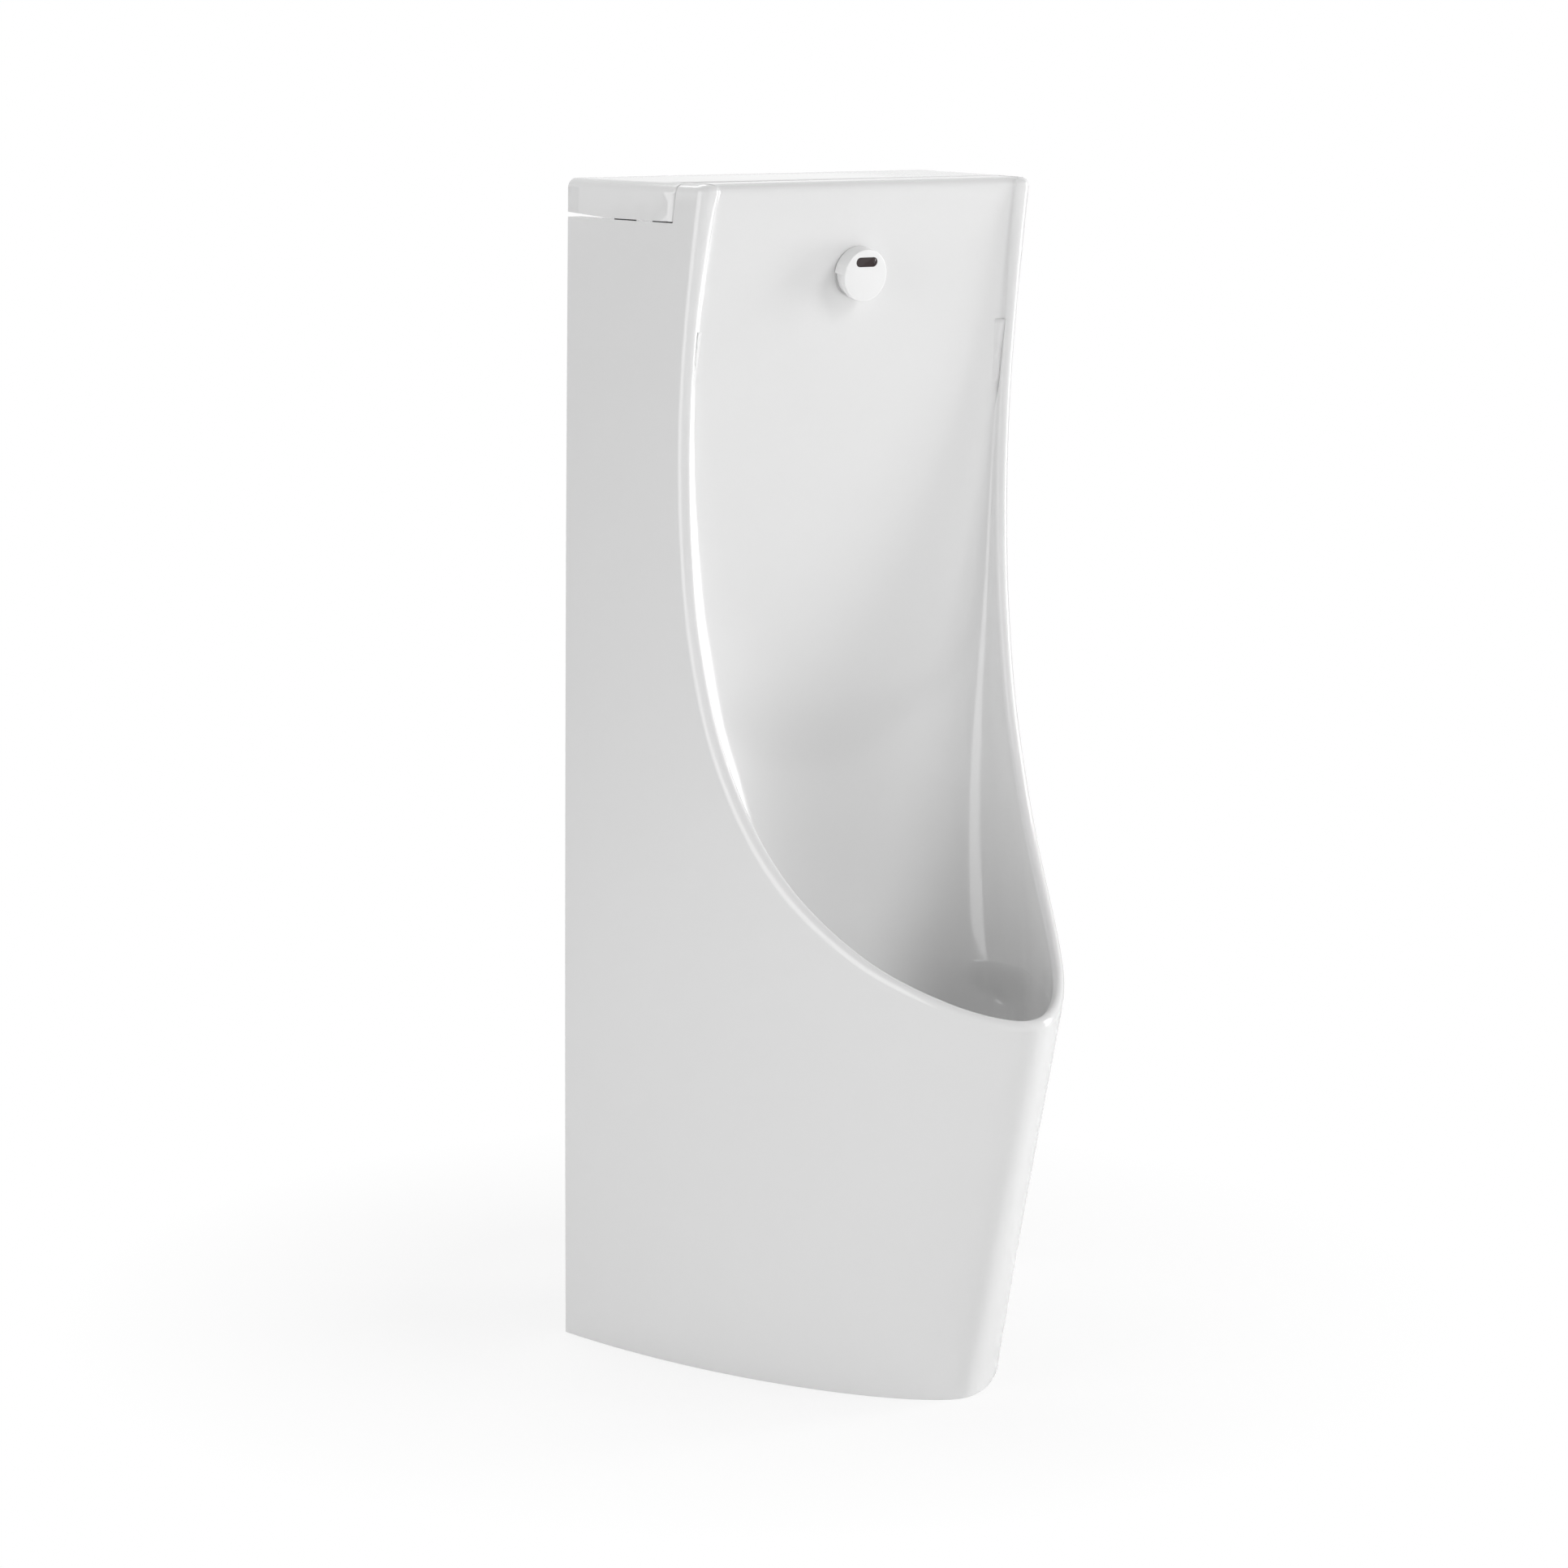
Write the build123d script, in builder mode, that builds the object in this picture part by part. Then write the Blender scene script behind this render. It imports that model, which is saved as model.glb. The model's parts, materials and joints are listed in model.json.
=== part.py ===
from build123d import *
import os
from math import cos, radians, sin, tan

os.makedirs("parts", exist_ok=True)

# Floor-standing urinal with a built-in sensor flush, in millimetres.
# The wall behind is y = 0, the front is towards -y, the floor is z = 0 and x = 0 is the middle.
# "Depth" is always the distance in front of the wall.

# Ceramic body
HEIGHT = 1000
BASE_HALF_WIDTH = 194
WIDTH_TAPER = 7
WIDTH_CURVE = 6
WALL = 13
LIP_HEIGHT = 0.341 * HEIGHT
LIP_DEPTH = 431
TOP_RADIUS = 8
FRONT_RADIUS = 7
# Share of the height and depth of the rounded front, which runs on upwards as if the bowl weren't cut away
NOSE_SHARES = [
    (0, 334),
    (0.17, 382),
    (0.34, LIP_DEPTH),
    (0.45, 458),
    (0.6, 496),
    (0.75, 555),
    (0.88, 642),
    (1, 732),
]
NOSE_DEPTHS = [(share * HEIGHT, depth) for share, depth in NOSE_SHARES]
# Depth and share of the height of the bowl's rim, seen from the side, from below the top edge down to the lip
RIM_SHARES = [
    (178.5, 0.96),
    (164, 0.88),
    (155, 0.79),
    (155.5, 0.7),
    (164, 0.625),
    (189.5, 0.535),
    (245, 0.445),
    (319, 0.385),
    (383, 0.355),
    (445, 0.334),
]
RIM_TOP_DEPTH = 185.3
RIM_LINE = [(RIM_TOP_DEPTH, HEIGHT - FRONT_RADIUS)] + [(depth, share * HEIGHT) for depth, share in RIM_SHARES]

# Bowl: share of the height, depth of its back wall, where the side wall begins along the outline, fullness
BOWL_SHARES = [
    (1.012, 197, 0.21, 0.8),
    (0.975, 173.5, 0.2, 0.8),
    (0.922, 160.5, 0.2, 0.8),
    (0.87, 150, 0.2, 0.8),
    (0.76, 131, 0.21, 0.8),
    (0.64, 118, 0.23, 0.8),
    (0.54, 111, 0.27, 0.75),
    (0.44, 106, 0.31, 0.75),
    (0.36, 120, 0.36, 0.75),
]
BOWL_LEVELS = [(share * HEIGHT, *rest) for share, *rest in BOWL_SHARES]
# Sump: share of the height, back, front and widest depth from the drain's, half width, inward lean there
DRAIN_DEPTH = LIP_DEPTH - 121
SUMP_SHARES = [(0.3, -150, 92, -78, 116, 0.55), (0.25, -99, 68, -25, 86, 0.3)]
SUMP_FLOOR = 0.205 * HEIGHT
SUMP_RADIUS = 48
DRAIN_BORE = 26

# Top cover
COVER_HEIGHT = 32
COVER_SEAT = HEIGHT - COVER_HEIGHT
COVER_THICKNESS = 11
COVER_SKIRT = 12
SEAM_DEPTH = 147
SEAM_LEAN = 0.2
SEAM_GAP = 1.2
COVER_NARROWING = 13
PAD_HEIGHT = 1
PAD_DEPTHS = (64, 118)
PAD_LENGTH = 22
PAD_WIDTH = 8
LIFT_NOTCH_HEIGHT = 3
LIFT_NOTCH_LENGTH = 58

# Ledges and bar inside the back of the body
LEDGE_INNER = BASE_HALF_WIDTH - 48
LEDGE_OUTER = BASE_HALF_WIDTH - 20
LEDGE_TOP = 0.82 * HEIGHT
LEDGE_HEIGHT = 20
LEDGE_DEPTH = (14, 70)
BAR_HEIGHT = 0.46 * HEIGHT
BAR_SIZE = 44
WALL_HOLE_SPACING = 180
WALL_HOLE_RADIUS = 5

# Sensor head on the forehead
HEAD_HEIGHT = 0.922 * HEIGHT
HEAD_FACE_DEPTH = 177.5
HEAD_TILT = 9
HEAD_HALF_WIDTH = 20.5
HEAD_HALF_HEIGHT = 21.9
HEAD_LENGTH = 16
DISC_THICKNESS = 6
DISC_EDGE = 0.8
HOOD_WALL = 2.1
FIT_GAP = 0.1
GASKET_THICKNESS = 1.1
GASKET_GAP = 0.1
WINDOW_LENGTH = 20.4
WINDOW_HEIGHT = 7.9
WINDOW_RISE = 11.3
WINDOW_SINK = 0.1
BOARD_THICKNESS = 1.2
BOARD_LENGTH = 21
BOARD_WIDTH = 7.6
BOARD_BACK = 10.2
DIODE_OFFSET = 5.5
DIODE_RADIUS = 2.2
DIODE_LENGTH = 2.6
SLOT_WIDTH = 14
SLOT_THICKNESS = 2.4
HEAD_BORE = 16
SHANK_DROP = 4
SHANK_RADIUS = 8
SHANK_BORE = 5
SHANK_START = 10
CABLE_RISE = 11
SENSOR_CABLE = 2
SPOT_FACE = 29
WASHER_RADIUS = 22
WASHER_THICKNESS = 3
SHANK_NUT_THICKNESS = 8
SHANK_NUT_HALF = 11.5
SHANK_END = 54
ELBOW_CENTRE = 62
ELBOW_RADIUS = 11
ELBOW_CUP = 9
ELBOW_DROP = 30

# Service shelf
SHELF_THICKNESS = 2
SHELF_HALF_WIDTH = BASE_HALF_WIDTH - 36
SHELF_DEPTH = (12, 78)
SHELF_LIP = 12
SCREW_RADIUS = 2.4
SCREW_GAP = 0.1
SCREW_HEAD = 4.5
SCREW_HEAD_HEIGHT = 3
SCREW_LENGTH = 14
SCREW_X = (LEDGE_INNER + SHELF_HALF_WIDTH) / 2
SCREW_DEPTH = sum(LEDGE_DEPTH) / 2

# Water line on the shelf
WATER_HEIGHT = LEDGE_TOP + 42
WATER_DEPTH = 52
INLET_X = -108
PLUG_X = -82
COUPLING_X = -62
CHAMBER_X = -16
SPOUT_X = 35
BARREL_RADIUS = 13
BARREL_BORE = 5
FILTER_RADIUS = 9
PLUG_RADIUS = 7
STEM_RADIUS = 4
LEVER_LENGTH = 46
LEVER_WIDTH = 10
LEVER_THICKNESS = 4
LEVER_HUB = 8
LEVER_GAP = 0.02
LEVER_TOP = 32
PLUG_TOP = 11
BOSS_RADIUS = 11
BOSS_TOP = 18
GLAND_HALF = 10
GLAND_HEIGHT = 8
BRANCH_RADIUS = 9.5
BRANCH_BORE = 6
BRANCH_END = 13
FILTER_END = -122
FILTER_LENGTH = 26
SCREEN_ROOM = 2.5
SCREEN_THICKNESS = 0.5
CAP_HALF = 12
CAP_LENGTH = 8
CAP_SPIGOT = 5
NUT_HALF = 15
NUT_OVERLAP = 10
INLET_FACE = 2
SEAL_ROOM = 2
COUPLING_LENGTH = 16
COUPLING_HALF = 17
SADDLE_X = (-46, 18)
SADDLE_WIDTH = 8
SADDLE_WALL = 3
OUTLET_RADIUS = 10
RUN_GAP = 0.05
INLET_THREAD = 10.3
SEAL_GROOVE = 0.5
CHAMBER_RADIUS = 25
CHAMBER_TOP = 15
CAVITY_RADIUS = 15
CAVITY_DEPTH = 6
DIAPHRAGM_RADIUS = 18
DIAPHRAGM_BORE = 6
SCREW_CIRCLE = 21.5
SMALL_SCREW = 1.45
SMALL_SCREW_LENGTH = 10
SMALL_SCREW_HEAD = 2.8
SPOUT_DROP = 19
DIAPHRAGM_THICKNESS = 1.6
BONNET_THICKNESS = 8
TUBE_RADIUS = 6
PLUNGER_RADIUS = 4.8
PLUNGER_LENGTH = 24
PLUNGER_REST = 0.4
TUBE_END = 3
SPRING_RADIUS = 4.3
SPRING_LENGTH = 10
SPRING_WIRE = 0.5
COIL_RADIUS = 15
COIL_HEIGHT = 26
COIL_NUT_HALF = 7.5
VALVE_CABLE = 1.7
LEAD_STRAIGHT = 21

# Flush hose
HOSE_RADIUS = 5
HOSE_BORE = 3.5
HOSE_ROOM = 3
HOSE_LOW = LEDGE_TOP - 44
HOSE_NUT = 16
HOSE_NUT_HALF = 9

# Battery box
BOX_X = SHELF_HALF_WIDTH - 56
BOX_WIDTH = 70
BOX_DEPTH = (20, 58)
BOX_HEIGHT = 66
BOX_WALL = 2
CELL_RADIUS = 7.1
CELL_LENGTH = 50
CELL_COUNT = 4
CELL_PITCH = 15.6
CELL_NUB = 2.6
BOARD_SPACE = 8
CONTROL_BOARD_HEIGHT = 54
CABLE_ENTRY = 14
COVER_PLATE = 3
COVER_LIP = 8
CONTACT_HEIGHT = 3

# Waste and trap
GASKET = 1.5
FLANGE_RADIUS = 36
FLANGE_THICKNESS = 3
WASTE_NUT = 10
WASTE_NUT_HALF = 33
STRAINER_RADIUS = 30
STRAINER_SEAT = 1.5
STRAINER_THICKNESS = 2
KNOB_RADIUS = 4
KNOB_HEIGHT = 9
KNOB_EDGE = 1.5
STRAINER_HOLE = 2.2
STRAINER_HOLES = [(8, 6), (20.5, 12)]
LEG_RADIUS = 1.3
LEG_CIRCLE = 15
LEG_LENGTH = 26
THREAD_RADIUS = 25
THREAD_SPARE = 4
PIPE_RADIUS = 20
PIPE_BORE = 17.5
SOCKET_RADIUS = 24
SLIP_GAP = 0.15
TRAP_BEND = 45
TRAP_LOW = SUMP_FLOOR - 100
TRAP_HIGH = SUMP_FLOOR - 61
SOCKET_LENGTH = 24
TAIL_END = SUMP_FLOOR - 63
NUT_HEIGHT = 12
NUT_CAP = 4
SOCKET_START = 2
CROWN_RISE = 7
OUTLET_DEPTH = DRAIN_DEPTH - 4 * TRAP_BEND
SEAL_HEIGHT = 8
SEAL_RADIUS = 50
FLOOR_FLANGE_RADIUS = 56
FLOOR_FLANGE_THICKNESS = 5
COLLAR_WALL = 4
COLLAR_HEIGHT = 20
FLANGE_HOLE_SPACING = 84
FLANGE_HOLE = 3
CLEANOUT_RADIUS = 12
CLEANOUT_HEAD = 8
CLEANOUT_WALL = 4
CLEANOUT_RIM = 3
BOSS_DROP = 8
SLIP_NUT_HALF = 28

# Route of the head's cable between the wall and the battery box: across, forward (negative) and up
CABLE_STRAIGHT = 44
SENSOR_CABLE_ROUTE = [(0.37 * BOX_X, -108, HEAD_HEIGHT + 12), (0.82 * BOX_X, -104, HEAD_HEIGHT - 17)]


def half_width(level):
    """Half width of the body at its back edge, a little narrower towards the top."""
    share = level / HEIGHT
    return BASE_HALF_WIDTH - WIDTH_TAPER * share - WIDTH_CURVE * share * share


def nose_depth(level):
    """Depth of the rounded front at a height, straight between the listed heights."""
    for (low, near), (high, far) in zip(NOSE_DEPTHS, NOSE_DEPTHS[1:]):
        if level <= high or high == HEIGHT:
            return near + (far - near) * (level - low) / (high - low)


def outline(level, inset=0):
    """Control points of the right half of the plan outline, from the back edge to the nose."""
    share = min(level / LIP_HEIGHT, 1)
    reach = 0.604 - 0.100 * share
    narrowing = (0.357 - 0.062 * share) * reach
    tip = 0.230 + 0.094 * share
    width = half_width(level) - inset
    nose = nose_depth(level) - inset
    shoulder = Vector(width * (1 - narrowing), -nose * reach)
    return [Vector(width, 0), shoulder, Vector(width * tip, -nose), Vector(0, -nose)]


def plan_section(level, inset=0, behind=0):
    """Closed plan outline at a height, open to the back by the length behind."""
    width = half_width(level) - inset
    with BuildSketch(Plane.XY.offset(level)) as section:
        with BuildLine():
            Bezier(*outline(level, inset))
            if behind:
                Line((width, 0), (width, behind))
            mirror(about=Plane.YZ)
            Line((-width, behind), (width, behind))
        make_face()
    return section.sketch


def later_part(points, share):
    """Control points of the part of a curve after the given share of it."""
    a, b, c, d = points
    ab, bc, cd = a + (b - a) * share, b + (c - b) * share, c + (d - c) * share
    abc, bcd = ab + (bc - ab) * share, bc + (cd - bc) * share
    return [abc + (bcd - abc) * share, bcd, cd, d]


def bowl_section(level, back, side, fullness):
    """Closed plan section of the bowl: its back wall curves into the given side curve."""
    start = side[0]
    along = (side[1] - start).normalized()
    corner = start - along * (-start.Y - back) * fullness
    with BuildSketch(Plane.XY.offset(level)) as section:
        with BuildLine():
            Bezier((0, -back), (start.X * fullness, -back), corner, start)
            Bezier(*side)
            mirror(about=Plane.YZ)
        make_face()
    return section.sketch


def sump_section(level, back, front, half, widest, lean, fullness):
    """Closed plan section of the sump, an oval that leans in towards the front."""
    start = Vector(half, -widest)
    along = Vector(-lean, -1).normalized()
    side = [start, start + along * (front - widest) * 0.55, Vector(half * 0.55, -front), Vector(0, -front)]
    return bowl_section(level, back, side, fullness)


def bowl_sections(grow):
    """Sections of the bowl from the sump's floor up, each grown outwards by a length."""
    near, far = DRAIN_DEPTH - SUMP_RADIUS, DRAIN_DEPTH + SUMP_RADIUS
    floor = sump_section(SUMP_FLOOR - grow, near - grow, far + grow, SUMP_RADIUS + grow, DRAIN_DEPTH, 0, 0.55)
    sections = [floor]
    for share, back, front, widest, half, lean in reversed(SUMP_SHARES):
        near, far = DRAIN_DEPTH + back - grow, DRAIN_DEPTH + front + grow
        sections.append(sump_section(share * HEIGHT, near, far, half + grow, DRAIN_DEPTH + widest, lean, 0.6))
    for level, back, share, fullness in reversed(BOWL_LEVELS):
        side = later_part(outline(level, WALL - grow), share)
        sections.append(bowl_section(level, back - grow, side, fullness))
    return sections


def side_prism(points):
    """Prism right across the body from a side outline given as depth and height."""
    with BuildPart() as prism:
        with BuildSketch(Plane.YZ):
            with BuildLine():
                Polyline(*[(-depth, level) for depth, level in points], close=True)
            make_face()
        extrude(amount=BASE_HALF_WIDTH + WALL, both=True)
    return prism.part


def tube(plane, outer, inner, length, start=0):
    """Tube along a plane's normal, from start to start plus length."""
    with BuildPart() as piece:
        with BuildSketch(plane.offset(start)):
            Circle(outer)
            if inner:
                Circle(inner, mode=Mode.SUBTRACT)
        extrude(amount=length)
    return piece.part


def hexagon_ring(plane, flat, inner, length, start=0):
    """Hexagonal nut along a plane's normal, with its half width across flats."""
    with BuildPart() as piece:
        with BuildSketch(plane.offset(start)):
            RegularPolygon(flat, 6, major_radius=False)
            if inner:
                Circle(inner, mode=Mode.SUBTRACT)
        extrude(amount=length)
    return piece.part


def block(low_x, high_x, low_depth, high_depth, low, high):
    """Box between two sides, two depths and two heights."""
    with BuildPart() as piece:
        with BuildSketch(Plane.XY.offset(low)):
            with Locations(((low_x + high_x) / 2, -(low_depth + high_depth) / 2)):
                Rectangle(high_x - low_x, high_depth - low_depth)
        extrude(amount=high - low)
    return piece.part


def pipe_along(points, radii, outer, inner):
    """Pipe along straight runs joined by tangent arcs."""
    with BuildPart() as piece:
        with BuildLine() as route:
            FilletPolyline(*points, radius=radii)
        path = route.wires()[0]
        with BuildSketch(Plane(path @ 0, z_dir=path % 0)):
            Circle(outer)
            if inner:
                Circle(inner, mode=Mode.SUBTRACT)
        sweep(path=path)
    print("pipe of radius", outer, "length", round(path.length, 1), "bends", [round(r, 1) for r in radii])
    return piece.part


def bend_radii(points):
    """Largest even bend at each inner point: 0.45 of the shorter run over the tangent of half the turn."""
    radii = []
    for before, here, after in zip(points, points[1:], points[2:]):
        first, second = Vector(*here) - Vector(*before), Vector(*after) - Vector(*here)
        half_turn = radians(first.get_angle(second) / 2)
        radii.append(0.45 * min(first.length, second.length) / tan(half_turn))
    return radii


def save(name, part):
    """Label a finished piece and write its file."""
    part.label = name
    export_step(part, f"parts/{name}.step")


# Planes of the sensor head: its face looks forwards and a little down
head_normal = Vector(0, -cos(radians(HEAD_TILT)), -sin(radians(HEAD_TILT)))
head = Plane(origin=(0, -HEAD_FACE_DEPTH, HEAD_HEIGHT), x_dir=(1, 0, 0), z_dir=head_normal)


def on_head(across, up):
    """Plane on the head's face, shifted across and up."""
    return Plane(origin=head.from_local_coords((across, up, 0)), x_dir=(1, 0, 0), z_dir=head_normal)


shank_plane = on_head(0, -SHANK_DROP)
cable_plane = on_head(0, CABLE_RISE)

# Solid shapes that the body and cover share
with BuildPart() as shape:
    loft(sections=[plan_section(level) for level, _ in NOSE_DEPTHS])
    top_edges = shape.faces().sort_by(Axis.Z)[-1].edges()
    side_edges = top_edges.filter_by(lambda edge: edge.position_at(0.5).Y < -1)
    fillet(side_edges, TOP_RADIUS)

with BuildPart() as front_space:
    with BuildSketch(Plane.YZ):
        with BuildLine():
            Spline(*[(-depth, level) for depth, level in RIM_LINE])
            far = -nose_depth(HEIGHT) - WALL
            edge_depth, edge_level = RIM_LINE[0]
            end_depth, end_level = RIM_LINE[-1]
            top = HEIGHT + WALL
            Polyline((-end_depth, end_level), (far, end_level), (far, top), (FRONT_RADIUS - edge_depth, top))
            Line((FRONT_RADIUS - edge_depth, top), (FRONT_RADIUS - edge_depth, HEIGHT))
            TangentArc((FRONT_RADIUS - edge_depth, HEIGHT), (-edge_depth, edge_level), tangent=(-1, 0))
        make_face()
    extrude(amount=BASE_HALF_WIDTH + WALL, both=True)

with BuildPart() as bowl_space:
    loft(sections=bowl_sections(0))
    with BuildSketch(Plane.XY.offset(SUMP_FLOOR + 1)):
        with Locations((0, -DRAIN_DEPTH)):
            Circle(DRAIN_BORE)
    extrude(amount=-WALL - 2)

with BuildPart() as bowl_jacket:
    loft(sections=bowl_sections(WALL))

with BuildPart() as rear_space:
    levels = [level for level, _ in NOSE_DEPTHS]
    loft(sections=[plan_section(level, WALL, WALL) for level in levels])
    add(bowl_jacket.part, mode=Mode.SUBTRACT)
    ceiling = HEIGHT - WALL
    strip = SEAM_DEPTH - WALL
    deep = nose_depth(HEIGHT)
    add(side_prism([(strip, ceiling), (deep, ceiling), (deep, top), (strip, top)]), mode=Mode.SUBTRACT)
    # The top corners keep a wall behind the rim, where the rounded corners of the bowl leave it thin
    rim_front = [(depth + FRONT_RADIUS, level) for depth, level in RIM_LINE[:3]]
    rim_back = [(depth - WALL, level) for depth, level in RIM_LINE[:3]]
    add(side_prism(rim_front + rim_back[::-1]), mode=Mode.SUBTRACT)

seam_top = SEAM_DEPTH + SEAM_LEAN * (top - COVER_SEAT)
cover_recess = side_prism([(-WALL, COVER_SEAT), (SEAM_DEPTH, COVER_SEAT), (seam_top, top), (-WALL, top)])

# Ledges for the service shelf, each with a blind screw hole
with BuildPart() as ledges:
    for side in (-1, 1):
        inner, outer = sorted((side * LEDGE_INNER, side * LEDGE_OUTER))
        add(block(inner, outer, *LEDGE_DEPTH, LEDGE_TOP - LEDGE_HEIGHT, LEDGE_TOP))
        with BuildSketch(Plane.XY.offset(LEDGE_TOP)):
            with Locations((side * SCREW_X, -SCREW_DEPTH)):
                Circle(SCREW_RADIUS + SCREW_GAP)
        extrude(amount=-SCREW_LENGTH - 1, mode=Mode.SUBTRACT)

# Bar across the open back, with two holes for wall bolts
bar_half = half_width(BAR_HEIGHT) - WALL / 2
with BuildPart() as back_bar:
    add(block(-bar_half, bar_half, 0, WALL, BAR_HEIGHT - BAR_SIZE / 2, BAR_HEIGHT + BAR_SIZE / 2))
    with BuildSketch(Plane.XZ.offset(-1)):
        with Locations((-WALL_HOLE_SPACING / 2, BAR_HEIGHT), (WALL_HOLE_SPACING / 2, BAR_HEIGHT)):
            Circle(WALL_HOLE_RADIUS)
    extrude(amount=WALL + 2, mode=Mode.SUBTRACT)

# Ceramic body: one casting with bowl, forehead, pedestal, ledges and the bar across its open back
with BuildPart() as ceramic_body:
    add(shape.part)
    add(front_space.part, mode=Mode.SUBTRACT)
    add(rear_space.part, mode=Mode.SUBTRACT)
    add(bowl_space.part, mode=Mode.SUBTRACT)
    add(cover_recess, mode=Mode.SUBTRACT)
    add(ledges.part)
    add(back_bar.part)
    add(tube(head, HEAD_BORE, 0, SPOT_FACE, -SPOT_FACE - 6), mode=Mode.SUBTRACT)
    add(tube(head, WASHER_RADIUS + 1, 0, WALL, -SPOT_FACE - WALL), mode=Mode.SUBTRACT)
save("ceramic_body", ceramic_body.part)

# Top cover: a ceramic tray turned over, with side skirts and a lifting notch at each back corner
cover_low = COVER_SEAT + PAD_HEIGHT
cover_front = SEAM_DEPTH - SEAM_GAP
cover_front_top = cover_front + SEAM_LEAN * (top - cover_low)
pocket_back = half_width(cover_low) - COVER_SKIRT
pocket_front = pocket_back - COVER_NARROWING
with BuildPart() as top_cover:
    add(shape.part)
    add(
        side_prism([(-1, cover_low), (cover_front, cover_low), (cover_front_top, top), (-1, top)]),
        mode=Mode.INTERSECT,
    )
    with BuildSketch(Plane.XY.offset(cover_low)):
        with BuildLine():
            Polyline((pocket_front, COVER_SKIRT - cover_front), (pocket_back, 0), (pocket_back, WALL))
            mirror(about=Plane.YZ)
            Line((-pocket_back, WALL), (pocket_back, WALL))
            Line((-pocket_front, COVER_SKIRT - cover_front), (pocket_front, COVER_SKIRT - cover_front))
        make_face()
    extrude(amount=HEIGHT - COVER_THICKNESS - cover_low, mode=Mode.SUBTRACT)
    notch = [(-1, cover_low - 1), (LIFT_NOTCH_LENGTH, cover_low - 1), (LIFT_NOTCH_LENGTH, cover_low)]
    notch.append((-1, cover_low + LIFT_NOTCH_HEIGHT))
    add(side_prism(notch), mode=Mode.SUBTRACT)
save("top_cover", top_cover.part)

# Rubber pads between the body's side walls and the cover's skirts
with BuildPart() as cover_pads:
    for side in (-1, 1):
        for depth in PAD_DEPTHS:
            middle = side * (half_width(COVER_SEAT) - WALL / 2 - COVER_NARROWING * depth / SEAM_DEPTH)
            inner, outer = middle - PAD_WIDTH / 2, middle + PAD_WIDTH / 2
            add(block(inner, outer, depth, depth + PAD_LENGTH, COVER_SEAT, cover_low))
save("cover_pads", cover_pads.part)


def head_oval(grow=0):
    """The head's oval outline, grown by a length."""
    return Ellipse(HEAD_HALF_WIDTH + grow, HEAD_HALF_HEIGHT + grow)


# Room in front of the forehead, once for the head with its gasket and once without
gasket_room = bowl_space.part.moved(Location((0, -GASKET_GAP, 0)))
head_room = bowl_space.part.moved(Location((0, -GASKET_GAP - GASKET_THICKNESS, 0)))

# Sensor hood: a front disc whose upper half carries a sleeve back towards the forehead
with BuildPart() as sensor_hood:
    with BuildSketch(head):
        head_oval()
    extrude(amount=-DISC_THICKNESS)
    fillet(sensor_hood.faces().sort_by(Axis.Y)[0].edges(), DISC_EDGE)
    with BuildSketch(head.offset(-DISC_THICKNESS)):
        head_oval()
        Ellipse(HEAD_HALF_WIDTH - HOOD_WALL, HEAD_HALF_HEIGHT - HOOD_WALL, mode=Mode.SUBTRACT)
        with Locations((0, -HEAD_HALF_HEIGHT)):
            Rectangle(3 * HEAD_HALF_WIDTH, 2 * HEAD_HALF_HEIGHT, mode=Mode.SUBTRACT)
    extrude(amount=DISC_THICKNESS - HEAD_LENGTH)
    with BuildSketch(head.offset(1)):
        with Locations((0, WINDOW_RISE)):
            SlotOverall(WINDOW_LENGTH + 2 * FIT_GAP, WINDOW_HEIGHT + 2 * FIT_GAP)
    extrude(amount=-DISC_THICKNESS - 2, mode=Mode.SUBTRACT)
    add(head_room, mode=Mode.INTERSECT)
save("sensor_hood", sensor_hood.part)

# Head body behind the disc: it holds the board and turns the water down through a slot
with BuildPart() as spreader_body:
    with BuildSketch(head.offset(-DISC_THICKNESS)):
        head_oval(-HOOD_WALL - FIT_GAP)
    extrude(amount=DISC_THICKNESS - HEAD_LENGTH)
    add(head_room, mode=Mode.INTERSECT)
    with BuildSketch(head.offset(-DISC_THICKNESS)):
        with Locations((0, WINDOW_RISE)):
            SlotOverall(BOARD_LENGTH + 1, BOARD_WIDTH + 1)
    extrude(amount=DISC_THICKNESS - BOARD_BACK, mode=Mode.SUBTRACT)
    with BuildSketch(head.offset(-SHANK_START)):
        with Locations((0, -SHANK_DROP)):
            Circle(SHANK_RADIUS + RUN_GAP)
        with Locations((0, CABLE_RISE)):
            Circle(SENSOR_CABLE + FIT_GAP)
    extrude(amount=SHANK_START - HEAD_LENGTH - 1, mode=Mode.SUBTRACT)
    with BuildSketch(head.offset(-DISC_THICKNESS - SLOT_THICKNESS / 2)):
        with Locations((0, -SHANK_DROP)):
            Circle(SHANK_BORE)
        with Locations((0, -SHANK_DROP - HEAD_HALF_HEIGHT / 2)):
            Rectangle(SLOT_WIDTH, HEAD_HALF_HEIGHT)
    extrude(amount=-SLOT_THICKNESS, mode=Mode.SUBTRACT)
save("spreader_body", spreader_body.part)

# Dark infrared window, a lozenge as deep as the disc
with BuildPart() as sensor_window:
    with BuildSketch(head.offset(-WINDOW_SINK)):
        with Locations((0, WINDOW_RISE)):
            SlotOverall(WINDOW_LENGTH, WINDOW_HEIGHT)
    extrude(amount=WINDOW_SINK - DISC_THICKNESS)
save("sensor_window", sensor_window.part)

# Circuit board in the head, with its emitter and receiver
with BuildPart() as sensor_board:
    with BuildSketch(head.offset(-BOARD_BACK)):
        with Locations((0, WINDOW_RISE)):
            SlotOverall(BOARD_LENGTH, BOARD_WIDTH)
    extrude(amount=BOARD_THICKNESS)
save("sensor_board", sensor_board.part)

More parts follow.
